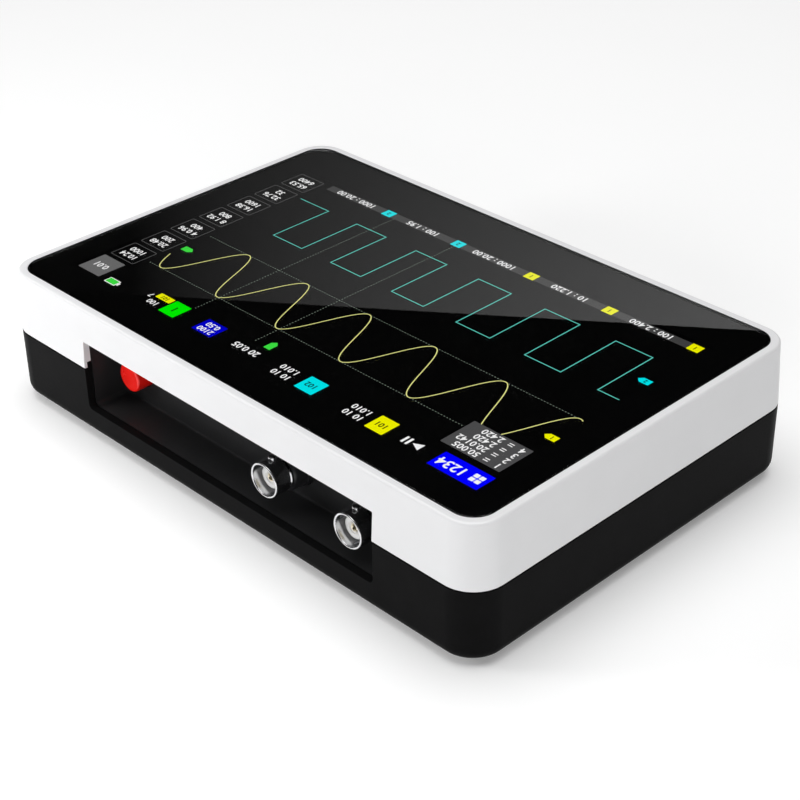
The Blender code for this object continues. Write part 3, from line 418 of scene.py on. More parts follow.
def moulded(name, colour, roughness, grain_mm, grain_depth, drift=0.02, **constants):
    """Moulded plastic: a fine grain in the skin, a slow drift of colour and of gloss."""
    shade = Shade(name, colour, roughness, **constants)
    shade.mottle(drift, 14.0)
    shade.vary_roughness(roughness * 0.88, roughness * 1.12, 5.0)
    shade.bump(shade.noise(shade.place(), grain_mm, 3.0), grain_depth)
    return shade.material


def eroded(name, colour, roughness, **constants):
    """Plastic from a spark-eroded mould: close-packed pits with a duller floor."""
    shade = Shade(name, colour, roughness, **constants)
    where = shade.place()
    pits = shade.node("ShaderNodeTexVoronoi", {"feature": "SMOOTH_F1"}, Vector=where,
                      Scale=1.0 / (0.42 * MM), Smoothness=0.6)
    grain = shade.noise(where, 0.25, 2.0)
    height = pits * 0.7 + grain * 0.3
    shade.bump(height, 0.035, 0.6)
    shade.feed("Roughness", shade.ramp(height, 0.1, 0.8) * 0.14 + (roughness - 0.07))
    shade.mottle(0.08, 9.0, where)
    return shade.material


def plated(name, colour, roughness):
    """Turned and plated metal: rings from the lathe, and handling marks in the gloss."""
    shade = Shade(name, colour, roughness, metallic=1.0)
    rings = shade.noise(shade.place((0.02, 1.0, 0.02)), 0.12, 2.0)
    marks = shade.noise(shade.place(), 1.6, 4.0)
    shade.feed("Roughness", shade.ramp(marks, 0.35, 0.75) * 0.1 + rings * 0.06 + (roughness - 0.05))
    shade.bump(rings, 0.006, 0.5)
    shade.mottle(0.05, 2.5)
    return shade.material


def brushed(name, colour, roughness):
    """Sheet metal with the long fine lines of rolling."""
    shade = Shade(name, colour, roughness, metallic=1.0)
    lines = shade.noise(shade.place((0.03, 1.0, 1.0)), 0.2, 3.0)
    shade.feed("Roughness", lines * 0.2 + (roughness - 0.1))
    shade.bump(lines, 0.01, 0.4)
    shade.mottle(0.05, 6.0)
    return shade.material


def rubbery(name, colour, roughness):
    shade = Shade(name, colour, roughness)
    where = shade.place()
    grain = shade.noise(where, 0.3, 4.0, 0.7)
    dust = shade.ramp(shade.noise(where, 2.2, 4.0), 0.55, 0.8)
    shade.feed("Base Color", shade.blend(dust * 0.25, colour, (0.12, 0.12, 0.115)))
    shade.feed("Roughness", grain * 0.15 + (roughness - 0.08))
    shade.bump(grain, 0.04, 0.6)
    return shade.material


def clear_glass(name):
    """Polished cover glass, with a trace of finger marks that only the gloss shows."""
    shade = Shade(name, (1.0, 1.0, 1.0), 0.0, Transmission_Weight=1.0, IOR=1.48)
    smears = shade.ramp(shade.noise(shade.place((1.0, 0.6, 1.0)), 22.0, 5.0, 0.6), 0.62, 0.85)
    shade.feed("Roughness", smears * 0.02)
    return shade.material


def lit(name, colour, strength):
    """A patch of the display that gives its own light, in the fine rows of such a panel."""
    shade = Shade(name, BLACK, 0.6, Specular_IOR_Level=0.0, Emission_Strength=strength)
    rows = shade.noise(shade.place((1.0, 1.0, 0.0)), 0.2, 0.0)
    shade.feed("Emission Color", shade.blend(rows * 0.1 + 0.95, BLACK, colour))
    return shade.material


white_case = moulded("white_case", (0.80, 0.80, 0.81), 0.34, 0.5, 0.006, 0.012,
                     Coat_Weight=0.12, Coat_Roughness=0.2)
black_case = eroded("black_case", (0.006, 0.006, 0.0062), 0.42, Specular_IOR_Level=0.02)
bezel_black = eroded("bezel_black", (0.022, 0.022, 0.023), 0.42, Specular_IOR_Level=0.2)
jack_black = moulded("jack_plastic", (0.014, 0.014, 0.015), 0.3, 0.3, 0.01, 0.05)
button_red = moulded("button_red", (0.98, 0.010, 0.005), 0.26, 0.4, 0.008, 0.04,
                     Coat_Weight=0.4, Coat_Roughness=0.12)
pale_plastic = moulded("pale_plastic", (0.75, 0.74, 0.70), 0.48, 0.3, 0.01, 0.03)
insulator_white = moulded("jack_insulator", (0.86, 0.86, 0.85), 0.42, 0.25, 0.008, 0.03)
ink_black = moulded("border_ink", PRINT, 0.6, 0.4, 0.002, 0.1, Specular_IOR_Level=0.0)
lcd_black = moulded("lcd_black", PRINT, 0.6, 0.5, 0.002, 0.1, Specular_IOR_Level=0.0)
chip_epoxy = eroded("chip_epoxy", (0.03, 0.03, 0.032), 0.55)
ferrite = eroded("ferrite_grey", (0.09, 0.09, 0.09), 0.7)
board_green = moulded("board_green", (0.02, 0.16, 0.06), 0.35, 0.8, 0.02, 0.15, Coat_Weight=0.3)
flex_film = moulded("flex_film", (0.50, 0.22, 0.03), 0.32, 1.0, 0.01, 0.06)
battery_wrap = moulded("battery_wrap", (0.12, 0.20, 0.42), 0.35, 2.5, 0.06, 0.05)
wire_red = moulded("wire_red", (0.60, 0.02, 0.02), 0.42, 0.3, 0.01, 0.04)
wire_black = moulded("wire_black", (0.02, 0.02, 0.02), 0.42, 0.3, 0.01, 0.04)
gasket_foam = rubbery("gasket_foam", (0.03, 0.03, 0.03), 0.9)
foot_rubber = rubbery("foot_rubber", (0.022, 0.022, 0.022), 0.82)
nickel = plated("nickel_plate", (0.78, 0.78, 0.79), 0.16)
gold = plated("gold_plate", (0.82, 0.74, 0.56), 0.22)
sheet_steel = brushed("sheet_steel", (0.55, 0.56, 0.57), 0.38)
tinned = brushed("tinned_steel", (0.62, 0.62, 0.60), 0.34)
glass = clear_glass("screen_glass")


# ---- Case shells ----

SCREWS, FEET = [[(sx * (HALF_WIDTH - inset), sy * (HALF_DEPTH - inset))
                 for sx in (-1, 1) for sy in (-1, 1)] for inset in (SCREW_INSET, FOOT_INSET)]
NOTCH_Y = (bezel_high.y, HALF_DEPTH + OVERSHOOT)


def on_notch_edge(first, second):
    """True for an edge of the recess's mouth, on the case's outer face."""
    flush = all(abs(p.y - HALF_DEPTH) < 1e-3 and RECESS_X0 - 0.01 < p.x < RECESS_X1 + 0.01
                for p in (first, second))
    middle = (first + second) / 2
    at_side = min(abs(middle.x - RECESS_X0), abs(middle.x - RECESS_X1)) < RECESS_CORNER
    at_rim = min(abs(middle.z - RECESS_Z0), abs(middle.z - RECESS_Z1)) < RECESS_CORNER
    return flush and (at_side or at_rim)


def make_upper_shell():
    fillet = [(TOP + z, case_outline(UPPER_DRAFT + TOP_RADIUS - x))
              for x, z in arc(TOP_RADIUS, 0, 90, cy=-TOP_RADIUS)]
    pocket_x, pocket_y = glass_high.x + GAP, glass_high.y + GAP
    pocket = centred(pocket_x, pocket_y, GLASS_CORNER + GAP)
    rim = centred(pocket_x + RIM_EDGE, pocket_y + RIM_EDGE, GLASS_CORNER + GAP + RIM_EDGE)
    window = centred(lcd_high.x + GAP, lcd_high.y + GAP, WINDOW_CORNER)
    ledge_top = gasket_low.z - GAP
    rebate = WALL - LIP - GAP
    lip_top = SEAM_TOP - GAP / 2 + LIP_HEIGHT + GAP
    levels = [(SEAM_TOP, case_outline(SEAM_CHAMFER)), (SEAM_TOP + SEAM_CHAMFER, case_outline(0.0))]
    levels += fillet
    levels += [(TOP, rim), (TOP - RIM_EDGE, pocket), (ledge_top, pocket), (ledge_top, window),
               (ledge_top - LEDGE, window), (ledge_top - LEDGE, case_outline(WALL)),
               (lip_top, case_outline(WALL)), (lip_top, case_outline(rebate)),
               (SEAM_TOP, case_outline(rebate))]
    shell = skinned("upper_shell", levels, closed=True)
    shell = carve(shell, [rod(x, y, UPPER_POST, lip_top, bezel_high.z) for x, y in SCREWS], "UNION")
    notch = rounded(RECESS_X0, RECESS_X1, RECESS_Z0, RECESS_Z1, NOTCH_CORNER, 2)
    shell = carve(shell, [straight(notch, *NOTCH_Y, "Y")])
    soften(shell, on_notch_edge, NOTCH_EDGE)
    shell = even_normals(shell)
    finish_piece(shell, white_case, ["upper_casing"])


def make_lower_shell():
    bottom = lower_low.z
    fillet = [(bottom + BOTTOM_RADIUS - x, case_outline(BOTTOM_RADIUS - y))
              for x, y in arc(BOTTOM_RADIUS, 0, 90)]
    lip_out = WALL - LIP
    levels = fillet + [
        (SEAM_BOTTOM - SEAM_CHAMFER, case_outline(0.0)), (SEAM_BOTTOM, case_outline(SEAM_CHAMFER)),
        (SEAM_BOTTOM, case_outline(lip_out)), (lower_high.z - 0.2, case_outline(lip_out)),
        (lower_high.z, case_outline(lip_out + 0.2)), (lower_high.z, case_outline(WALL)),
        (bottom + FLOOR_THICKNESS, case_outline(WALL))]
    shell = skinned("lower_shell", levels)
    root = bottom + FLOOR_THICKNESS - 0.5
    shell = carve(shell, [rod(x, y, LOWER_POST, root, SEAM_BOTTOM) for x, y in SCREWS], "UNION")
    notch = rounded(RECESS_X0, RECESS_X1, RECESS_Z0, TOP, RECESS_CORNER)
    shell = carve(shell, [straight(notch, *NOTCH_Y, "Y")])
    under = bottom - OVERSHOOT
    cuts = [rod(x, y, FOOT_RADIUS + GAP, under, bottom + FOOT_POCKET, 64) for x, y in FEET]
    cuts += [rod(x, y, SCREW_BORE, under, SCREW_SEAT) for x, y in SCREWS]
    shell = carve(shell, cuts)
    shell = carve(shell, [rod(x, y, SCREW_HOLE, SCREW_SEAT - 1.0, TOP, 24) for x, y in SCREWS])
    soften(shell, on_notch_edge, NOTCH_EDGE)
    soften(shell, lambda a, b: on_pocket_rim(a, b, bottom), POCKET_EDGE)
    shell = even_normals(shell)
    finish_piece(shell, black_case, ["lower_casing"])


def on_pocket_rim(first, second, height):
    """True for an edge round a foot's pocket or a screw's bore, on the flat underside."""
    level = all(abs(p.z - height) < 1e-3 for p in (first, second))
    near = [((first.xy - Vector(spot)).length, radius)
            for spots, radius in ((FEET, FOOT_RADIUS + GAP), (SCREWS, SCREW_BORE)) for spot in spots]
    return level and any(abs(distance - radius) < 0.05 for distance, radius in near)


def make_recess_liner():
    outer = rounded(bezel_low.x, bezel_high.x, bezel_low.z, bezel_high.z, RECESS_CORNER + 1.0)

    def inner(shrink):
        return rounded(RECESS_X0 + shrink, RECESS_X1 - shrink, RECESS_Z0 + shrink,
                       RECESS_Z1 - shrink, max(RECESS_CORNER - shrink, 0.3))

    fillet = [(RECESS_BACK + RECESS_FILLET + y, inner(RECESS_FILLET + x))
              for x, y in arc(RECESS_FILLET, 180, 270)]
    levels = [(bezel_low.y, outer), (bezel_high.y, outer), (bezel_high.y, inner(0.0))] + fillet
    liner = skinned("recess_liner", levels, "Y")
    through = (bezel_low.y - OVERSHOOT, RECESS_BACK + 1.0)
    cuts = []
    for node, radius in (("jack_shell_1", COLLAR), ("jack_shell_2", COLLAR), ("power_button", BUTTON)):
        low, high = span(node)
        middle = (low + high) / 2
        cuts.append(rod(middle.x, middle.z, radius + GAP, *through, 64, "Y"))
    low, high = span("usb_socket")
    port = rounded(low.x - GAP, high.x + GAP, low.z - GAP, high.z + GAP, (high.z - low.z) / 2)
    cuts.append(straight(port, *through, "Y"))
    liner = carve(liner, cuts)
    liner = even_normals(liner)
    finish_piece(liner, bezel_black, ["port_bezel"])


# ---- Screen ----

GLASS_EDGE = 0.12
PRINT_THICKNESS = 0.05
PRINT_SLACK = 0.05
SEAL_SLACK = 0.03
SEAL_DEPTH = 0.08


def make_cover_glass():
    def outline(inset):
        return centred(glass_high.x - inset, glass_high.y - inset, GLASS_CORNER - inset)

    bottom = [(glass_low.z, outline(GLASS_EDGE)), (glass_low.z + GLASS_EDGE, outline(0.0))]
    top = [(TOP - GLASS_EDGE + z, outline(GLASS_EDGE - x))
           for x, z in arc(GLASS_EDGE, 0, 90, 4)]
    pane = even_normals(skinned("front_glass", bottom + top, sharp=60))
    pane.visible_shadow = False
    finish_piece(pane, glass, ["cover_glass"])


def make_ink_border():
    """The black print on the back of the glass, round the display."""
    high = glass_low.z - 0.02
    outer = centred(glass_high.x - PRINT_SLACK, glass_high.y - PRINT_SLACK, GLASS_CORNER - PRINT_SLACK)
    inner = rounded(SCREEN_X0, SCREEN_X1, SCREEN_Y0, SCREEN_Y1, 0.3)
    levels = hollow(outer, inner, high - PRINT_THICKNESS, high)
    finish_piece(skinned("border_print", levels, closed=True), ink_black)


def make_edge_seal():
    """The black adhesive bead that fills the slit between the glass and its pocket."""
    inner, outer = [centred(glass_high.x + gap, glass_high.y + gap, GLASS_CORNER + gap)
                    for gap in (SEAL_SLACK, GAP - SEAL_SLACK)]
    levels = hollow(outer, inner, glass_low.z, TOP - SEAL_DEPTH)
    finish_piece(skinned("edge_seal", levels, closed=True), ink_black)


# The picture: 154 x 86 mm, nearer the top edge than the bottom one.
SCREEN_X0, SCREEN_X1 = -77.3, 76.9
SCREEN_Y0, SCREEN_Y1 = -40.6, 46.3
PICTURE = Vector((0.8, -0.8))
PICTURE_LOW = lcd_high.z + 0.03
LAYER = 0.035
THICKNESS = LAYER * 0.6


def on_screen(outline):
    return [(x + PICTURE.x, y + PICTURE.y) for x, y in outline]


def box_outline(x0, x1, y0, y1, radius=0.25):
    return rounded(x0, x1, y0, y1, radius, 3)


def display(name, bm, material):
    finish_piece(show(name, mesh_of(bm, name)), material)


def picture(name, colour, shapes=(), words=(), level=0):
    """Thin flat shapes and rows of digits in one colour. A higher level lies over a lower one."""
    bm = bmesh.new()
    low = PICTURE_LOW + level * LAYER
    for shape in shapes:
        loft(bm, straight(on_screen(shape), low, low + THICKNESS)[0])
    for word in words:
        digits(bm, low, *word)
    display(name, bm, LIT[colour])


LIT = {}
for name, colour, strength in (
        ("blue", (0.0, 0.0, 0.95), 1.15), ("dim_blue", (0.0, 0.0, 0.62), 1.0),
        ("green", (0.0, 0.95, 0.0), 1.0), ("soft_green", (0.05, 0.80, 0.06), 1.0),
        ("yellow", (0.95, 0.95, 0.0), 1.0), ("cyan", (0.0, 0.85, 0.9), 1.0),
        ("white", (0.92, 0.92, 0.92), 1.08), ("grey", (0.078, 0.078, 0.08), 1.0),
        ("strip", (0.055, 0.055, 0.055), 1.0), ("pale_grey", (0.16, 0.16, 0.16), 1.0),
        ("outline", (0.13, 0.13, 0.13), 1.0), ("black", (0.004, 0.004, 0.004), 1.0)):
    LIT[name] = lit("picture_" + name, colour, strength)
trace_yellow = lit("trace_yellow", (0.86, 0.86, 0.30), 1.0)
trace_cyan = lit("trace_cyan", (0.12, 0.66, 0.56), 1.0)
graticule = lit("graticule", (0.30, 0.38, 0.31), 1.0)


def digits(bm, low, text, x, y, height, across="CENTER"):
    """Plain digits, lying in the screen and read with +Y up."""
    curve = bpy.data.curves.new("digits", "FONT")
    curve.body = text
    curve.size = height * 1.38
    curve.align_x = across
    curve.align_y = "CENTER"
    curve.offset = height * 0.022
    curve.resolution_u = 2
    item = show("digits", curve)
    bpy.context.view_layer.update()
    mesh = bpy.data.meshes.new_from_object(item)
    bpy.data.objects.remove(item, do_unlink=True)
    flat = bmesh.new()
    flat.from_mesh(mesh)
    bmesh.ops.translate(flat, vec=Vector((x + PICTURE.x, y + PICTURE.y, low)), verts=flat.verts)
    walls = bmesh.ops.extrude_face_region(flat, geom=flat.faces[:])
    top = [v for v in walls["geom"] if isinstance(v, bmesh.types.BMVert)]
    bmesh.ops.translate(flat, vec=Vector((0.0, 0.0, THICKNESS)), verts=top)
    flat.to_mesh(mesh)
    flat.free()
    bm.from_mesh(mesh)
    bpy.data.meshes.remove(mesh)


# ---- Geometry Nodes groups ----

class Recipe:
    """A Geometry Nodes tree under construction."""

    def __init__(self, name, **inputs):
        self.tree = bpy.data.node_groups.new(name, "GeometryNodeTree")
        face = self.tree.interface
        for key, value in inputs.items():
            kind = "NodeSocketInt" if isinstance(value, int) else "NodeSocketFloat"
            face.new_socket(key, in_out="INPUT", socket_type=kind).default_value = value
        face.new_socket("Geometry", in_out="OUTPUT", socket_type="NodeSocketGeometry")
        self.inputs = self.tree.nodes.new("NodeGroupInput").outputs
        self.end = self.tree.nodes.new("NodeGroupOutput")

    def node(self, kind, settings=None, out=0, **values):
        return add_node(self.tree, kind, settings, values).outputs[out]

    def maths(self, operation, first, second=0.0):
        values = {0: first, 1: second}
        return add_node(self.tree, "ShaderNodeMath", {"operation": operation}, values).outputs[0]

    def grow(self, name, geometry, material):
        """Closes the tree, runs it on an empty mesh and returns what it makes as a plain object."""
        real = self.node("GeometryNodeRealizeInstances", Geometry=geometry)
        painted = self.node("GeometryNodeSetMaterial", Geometry=real, Material=material)
        self.tree.links.new(painted, self.end.inputs[0])
        item = show(name + "_seed", bpy.data.meshes.new(name + "_seed"))
        item.modifiers.new(name, "NODES").node_group = self.tree
        return applied(item, name)


def one_per_corner(name, prototype, material, inset):
    """Four copies of a prototype, inset from the sides of the case, as one mesh."""
    recipe = Recipe(name + "_grid", width=2 * (HALF_WIDTH - inset) * MM,
                    depth=2 * (HALF_DEPTH - inset) * MM)
    grid = recipe.node("GeometryNodeMeshGrid", Size_X=recipe.inputs["width"],
                       Size_Y=recipe.inputs["depth"], Vertices_X=2, Vertices_Y=2)
    source = recipe.node("GeometryNodeObjectInfo", out="Geometry", Object=prototype)
    placed = recipe.node("GeometryNodeInstanceOnPoints", Points=grid, Instance=source)
    item = recipe.grow(name, placed, material)
    bpy.data.objects.remove(prototype, do_unlink=True)
    return item


def dotted_line(name, start, end, dots, size, material):
    """A run of small square dots from start to end, in metres."""
    recipe = Recipe(name + "_dots", dots=dots)
    line = recipe.node("GeometryNodeMeshLine", {"mode": "END_POINTS"}, Count=recipe.inputs["dots"],
                       Start_Location=start, Offset=end)
    dot = recipe.node("GeometryNodeMeshCube", Size=(1.0, 1.0, 0.12))
    placed = recipe.node("GeometryNodeInstanceOnPoints", Points=line, Instance=dot, Scale=(size,) * 3)
    return recipe.grow(name, placed, material)


def sine_trace(name, start, length, period, height, width, material):
    """A flat ribbon that follows a sine wave towards -X from start, in metres."""
    recipe = Recipe(name + "_wave", period=period, height=height, width=width)
    line = recipe.node("GeometryNodeMeshLine", {"mode": "END_POINTS"}, Count=WAVE_STEPS,
                       Start_Location=start, Offset=start - Vector((length, 0.0, 0.0)))
    place = recipe.node("ShaderNodeSeparateXYZ", Vector=recipe.node("GeometryNodeInputPosition"))
    run = recipe.maths("SUBTRACT", start.x + SINE_LEAD * MM, place)
    phase = recipe.maths("MULTIPLY", recipe.maths("DIVIDE", run, recipe.inputs["period"]), 2 * pi)
    rise = recipe.maths("MULTIPLY", recipe.maths("SINE", phase), recipe.inputs["height"])
    waved = recipe.node("GeometryNodeSetPosition", Geometry=line,
                        Offset=recipe.node("ShaderNodeCombineXYZ", Y=rise))
    path = recipe.node("GeometryNodeMeshToCurve", Mesh=waved)
    section = recipe.node("GeometryNodeCurvePrimitiveQuadrilateral", Width=recipe.inputs["width"],
                          Height=THICKNESS * MM)
    ribbon = recipe.node("GeometryNodeCurveToMesh", Curve=path, Profile_Curve=section, Fill_Caps=True)
    return recipe.grow(name, ribbon, material)


# ---- The lit picture ----

GRID_HIGH, GRID_LOW = 29.7, 8.1
WAVE_START, WAVE_END = 62.4, -76.4
WAVE_STEPS = 480
SINE_PERIOD = 24.2
SINE_LEAD = 1.4
SQUARE_HIGH, SQUARE_LOW = -4.9, -26.2
SQUARE_FIRST, SQUARE_HALF = 50.3, 12.0
TRACE_WIDTH = 0.29
DOT_PITCH = 0.95
DOT_SIZE = 0.24


def spot(x, y, level=0):
    """A point of the picture in metres."""
    return Vector((x + PICTURE.x, y + PICTURE.y, PICTURE_LOW + level * LAYER)) * MM


def ribbon_of(points, width):
    """The two sides of an even ribbon along a path that turns by right angles."""
    sides = []
    for first, second in zip(points, points[1:]):
        along = (Vector(second) - Vector(first)).normalized()
        sides.append(Vector((-along.y, along.x)) * width / 2)
    nothing = Vector((0.0, 0.0))
    offsets = [a + b for a, b in zip([nothing] + sides, sides + [nothing])]
    return [[Vector(point) + offset * sign for point, offset in zip(points, offsets)]
            for sign in (1, -1)]


def make_square_trace():
    points = [(WAVE_START, SQUARE_LOW)]
    x, level = SQUARE_FIRST, SQUARE_LOW
    while x > WAVE_END:
        points.append((x, level))
        level = SQUARE_HIGH if level == SQUARE_LOW else SQUARE_LOW
        points.append((x, level))
        x -= SQUARE_HALF
    points.append((WAVE_END, level))
    bm = bmesh.new()
    low = PICTURE_LOW + LAYER
    high = low + THICKNESS
    rings = []
    for a, b in zip(*[on_screen(side) for side in ribbon_of(points, TRACE_WIDTH)]):
        corners = ((*a, low), (*b, low), (*b, high), (*a, high))
        rings.append([bm.verts.new(corner) for corner in corners])
    for lower, upper in zip(rings, rings[1:]):
        bridge(bm, lower, upper)
    bm.faces.new(rings[0])
    bm.faces.new(rings[-1])
    display("trace_square", bm, trace_cyan)


def make_traces():
    start = spot(WAVE_START, (GRID_HIGH + GRID_LOW) / 2, 2)
    wave = sine_trace("trace_sine", start, (WAVE_START - WAVE_END) * MM, SINE_PERIOD * MM,
                      (GRID_HIGH - GRID_LOW) / 2 * MM, TRACE_WIDTH * MM, trace_yellow)
    finish_piece(wave, trace_yellow)
    make_square_trace()
    for name, first, last in (("grid_upper", (62.4, GRID_HIGH), (-57.0, GRID_HIGH)),
                              ("grid_lower", (62.4, GRID_LOW), (-74.5, GRID_LOW)),
                              ("grid_left", (8.6, 37.5), (8.6, -35.6)),
                              ("grid_right", (33.0, 37.5), (33.0, -35.6))):
        count = int((Vector(first) - Vector(last)).length / DOT_PITCH)
        dots = dotted_line(name, spot(*first), spot(*last), count, DOT_SIZE * MM, graticule)
        finish_piece(dots, graticule)


KEY_X = (65.0, 75.0)
KEY_PITCH = 10.55
KEY_FIRST = 29.6
KEY_HALF = 4.35
KEY_LINE = 0.16
KEY_ROW = 1.65
KEY_LABELS = (("10.24", "1000"), ("20.48", "200"), ("4 0.96", "400"), ("8 1.92", "800"),
              ("16.38", "1600"), ("32.76", "32"), ("65.53", "6400"))


def make_key_column():
    """Seven outlined keys down the right of the picture, each with two rows of digits."""
    x0, x1 = KEY_X
    frames = bmesh.new()
    words = []
    for row, (upper, lower) in enumerate(KEY_LABELS):
        y = KEY_FIRST - row * KEY_PITCH
        outer = box_outline(x0, x1, y - KEY_HALF, y + KEY_HALF, 0.5)
        inner = box_outline(x0 + KEY_LINE, x1 - KEY_LINE, y - KEY_HALF + KEY_LINE,
                            y + KEY_HALF - KEY_LINE, 0.4)
        loft(frames, hollow(on_screen(outer), on_screen(inner), PICTURE_LOW,
                            PICTURE_LOW + THICKNESS), closed=True)
        middle = (x0 + x1) / 2
        words += [(upper, middle, y + KEY_ROW, 2.15), (lower, middle, y - KEY_ROW, 2.15)]
    display("key_frames", frames, LIT["outline"])
    picture("key_digits", "white", words=words, level=1)


def make_menu_block():
    picture("block_blue", "blue", [box_outline(-78.0, -62.2, 40.3, 47.0)])
    squares = [box_outline(x, x + 1.4, y, y + 1.4, 0.15)
               for x in (-76.6, -74.85) for y in (41.9, 43.65)]
    picture("block_blue_marks", "white", squares, [("1234", -67.4, 43.7, 3.2)], 1)


BOX_LEVEL = 3
BOX_ROWS = (("1", "50.005"), ("2", "20.0142"), ("3", "2.420"), ("4", "2.420"))


def make_reading_box():
    picture("box_grey", "grey", [box_outline(-76.8, -58.0, 26.3, 38.1)], level=BOX_LEVEL)
    bars, words = [], []
    for row, (mark, number) in enumerate(BOX_ROWS):
        y = 36.4 - row * 2.8
        words += [(mark, -75.6, y, 2.15, "LEFT"), (number, -68.9, y, 2.15, "LEFT")]
        bars += [box_outline(-72.0, -70.5, y + bar - 0.15, y + bar + 0.15, 0.05) for bar in (-0.4, 0.4)]
    picture("box_grey_digits", "white", bars, words, BOX_LEVEL + 1)


def make_status_row():
    """The row along the top edge: channel blocks, trigger block, battery and their digits."""
    for name, colour, box in (
            ("block_channel_1", "yellow", (-46.4, -40.5, 39.7, 46.0)),
            ("block_channel_2", "cyan", (-21.3, -15.0, 39.4, 45.6)),
            ("block_mode", "dim_blue", (18.2, 25.7, 38.7, 44.9)),
            ("block_trigger", "green", (33.3, 39.4, 38.5, 45.1)),
            ("block_source", "yellow", (40.0, 45.8, 38.6, 41.0)),
            ("block_corner", "pale_grey", (66.0, 75.3, 35.6, 44.8))):
        picture(name, colour, [box_outline(*box)])
    dark = (("101", -43.4, 42.9, 1.9), ("102", -18.1, 42.5, 1.9), ("1", 36.3, 41.8, 2.4),
            ("101", 42.9, 39.8, 1.5))
    picture("block_digits", "black", words=dark, level=1)
    light = (("0.01", 70.7, 40.2, 2.3), ("2100", 22.0, 43.2, 2.0), ("0.50", 22.0, 40.5, 2.0),
             ("20 0.05", 7.0, 42.1, 2.3), ("10 10", -35.2, 44.5, 2.1), ("1.010", -35.2, 41.4, 2.1),
             ("10 10", -8.8, 44.2, 2.1), ("1.010", -8.8, 41.1, 2.1), ("100", 43.6, 43.4, 2.0),
             ("7", 47.2, 41.2, 1.8))
    arrow = [(-57.0, 41.9), (-54.2, 43.3), (-57.0, 44.7)]
    bars = [box_outline(x, x + 0.7, 41.9, 44.7, 0.1) for x in (-53.4, -52.0)]
    picture("status_digits", "white", [arrow] + bars, light, 1)
    picture("battery_mark", "soft_green", [box_outline(59.0, 62.8, 42.8, 44.9, 0.1)], level=1)
    edge = [box_outline(58.7, 63.1, 42.5, 45.2, 0.2), box_outline(58.0, 58.6, 43.2, 44.5, 0.1)]
    picture("battery_mark_edge", "white", edge)


STRIP_LOW, STRIP_HIGH = -39.0, -35.7
STRIP_TAG = 3.6
STRIP_GAP = 0.15
STRIP_ENDS = (-76.2, -48.2, -20.7, 6.8, 34.7, 62.0)
STRIP_READINGS = (("1", "100 : 2.400"), ("1", "10 : 1.220"), ("1", "1000 : 20.00"),
                  ("2", "100 : 1.95"), ("2", "1000 : 20.00"))


def make_reading_strip():
    """The grey strip of readings under the traces, with a numbered tag at each."""
    middle = (STRIP_LOW + STRIP_HIGH) / 2
    grey, dark, white, tags = [], [], [], {"1": [], "2": []}
    for (number, reading), x, end in zip(STRIP_READINGS, STRIP_ENDS, STRIP_ENDS[1:]):
        tag_end = x + STRIP_TAG
        grey.append(box_outline(tag_end + STRIP_GAP, end - STRIP_GAP, STRIP_LOW + STRIP_GAP,
                                STRIP_HIGH - STRIP_GAP, 0.1))
        tags[number].append(box_outline(x, tag_end, STRIP_LOW, STRIP_HIGH, 0.15))
        dark.append((number, x + STRIP_TAG / 2, middle, 1.5))
        white.append((reading, (tag_end + end) / 2, middle, 2.25))
    picture("strip_grey", "strip", grey)
    picture("strip_tags_yellow", "yellow", tags["1"])
    picture("strip_tags_cyan", "cyan", tags["2"])
    picture("strip_tag_digits", "black", words=dark, level=1)
    picture("strip_digits", "white", words=white, level=1)


def pointer(x, y, dx, dy):
    """A tag at a point, with one pointed side that faces (dx, dy)."""
    place, ahead, side = Vector((x, y)), Vector((dx, dy)), Vector((-dy, dx)) * 1.15
    front, back = place + ahead * 0.9, place - ahead * 1.9
    return [place + ahead * 2.0, front + side, back + side, back - side, front - side]


def make_pointers():
    for name, colour, tag in (("pointer_channel_1", "yellow", (-75.6, 19.0, 1, 0)),
                                ("pointer_channel_2", "cyan", (-75.3, -15.9, 1, 0)),
                                ("pointer_level", "soft_green", (60.6, 17.9, -1, 0)),
                                ("pointer_time", "soft_green", (3.4, 36.6, 0, -1))):
        picture(name, colour, [pointer(*tag)], level=3)
    marks = (("1", -76.0, 19.0, 1.4), ("2", -75.7, -15.9, 1.4))
    picture("pointer_digits", "black", words=marks, level=4)


# ---- Jacks ----

COLLAR_STEP = 1.6
LUG_EDGE = 0.3
SLIT = 0.12


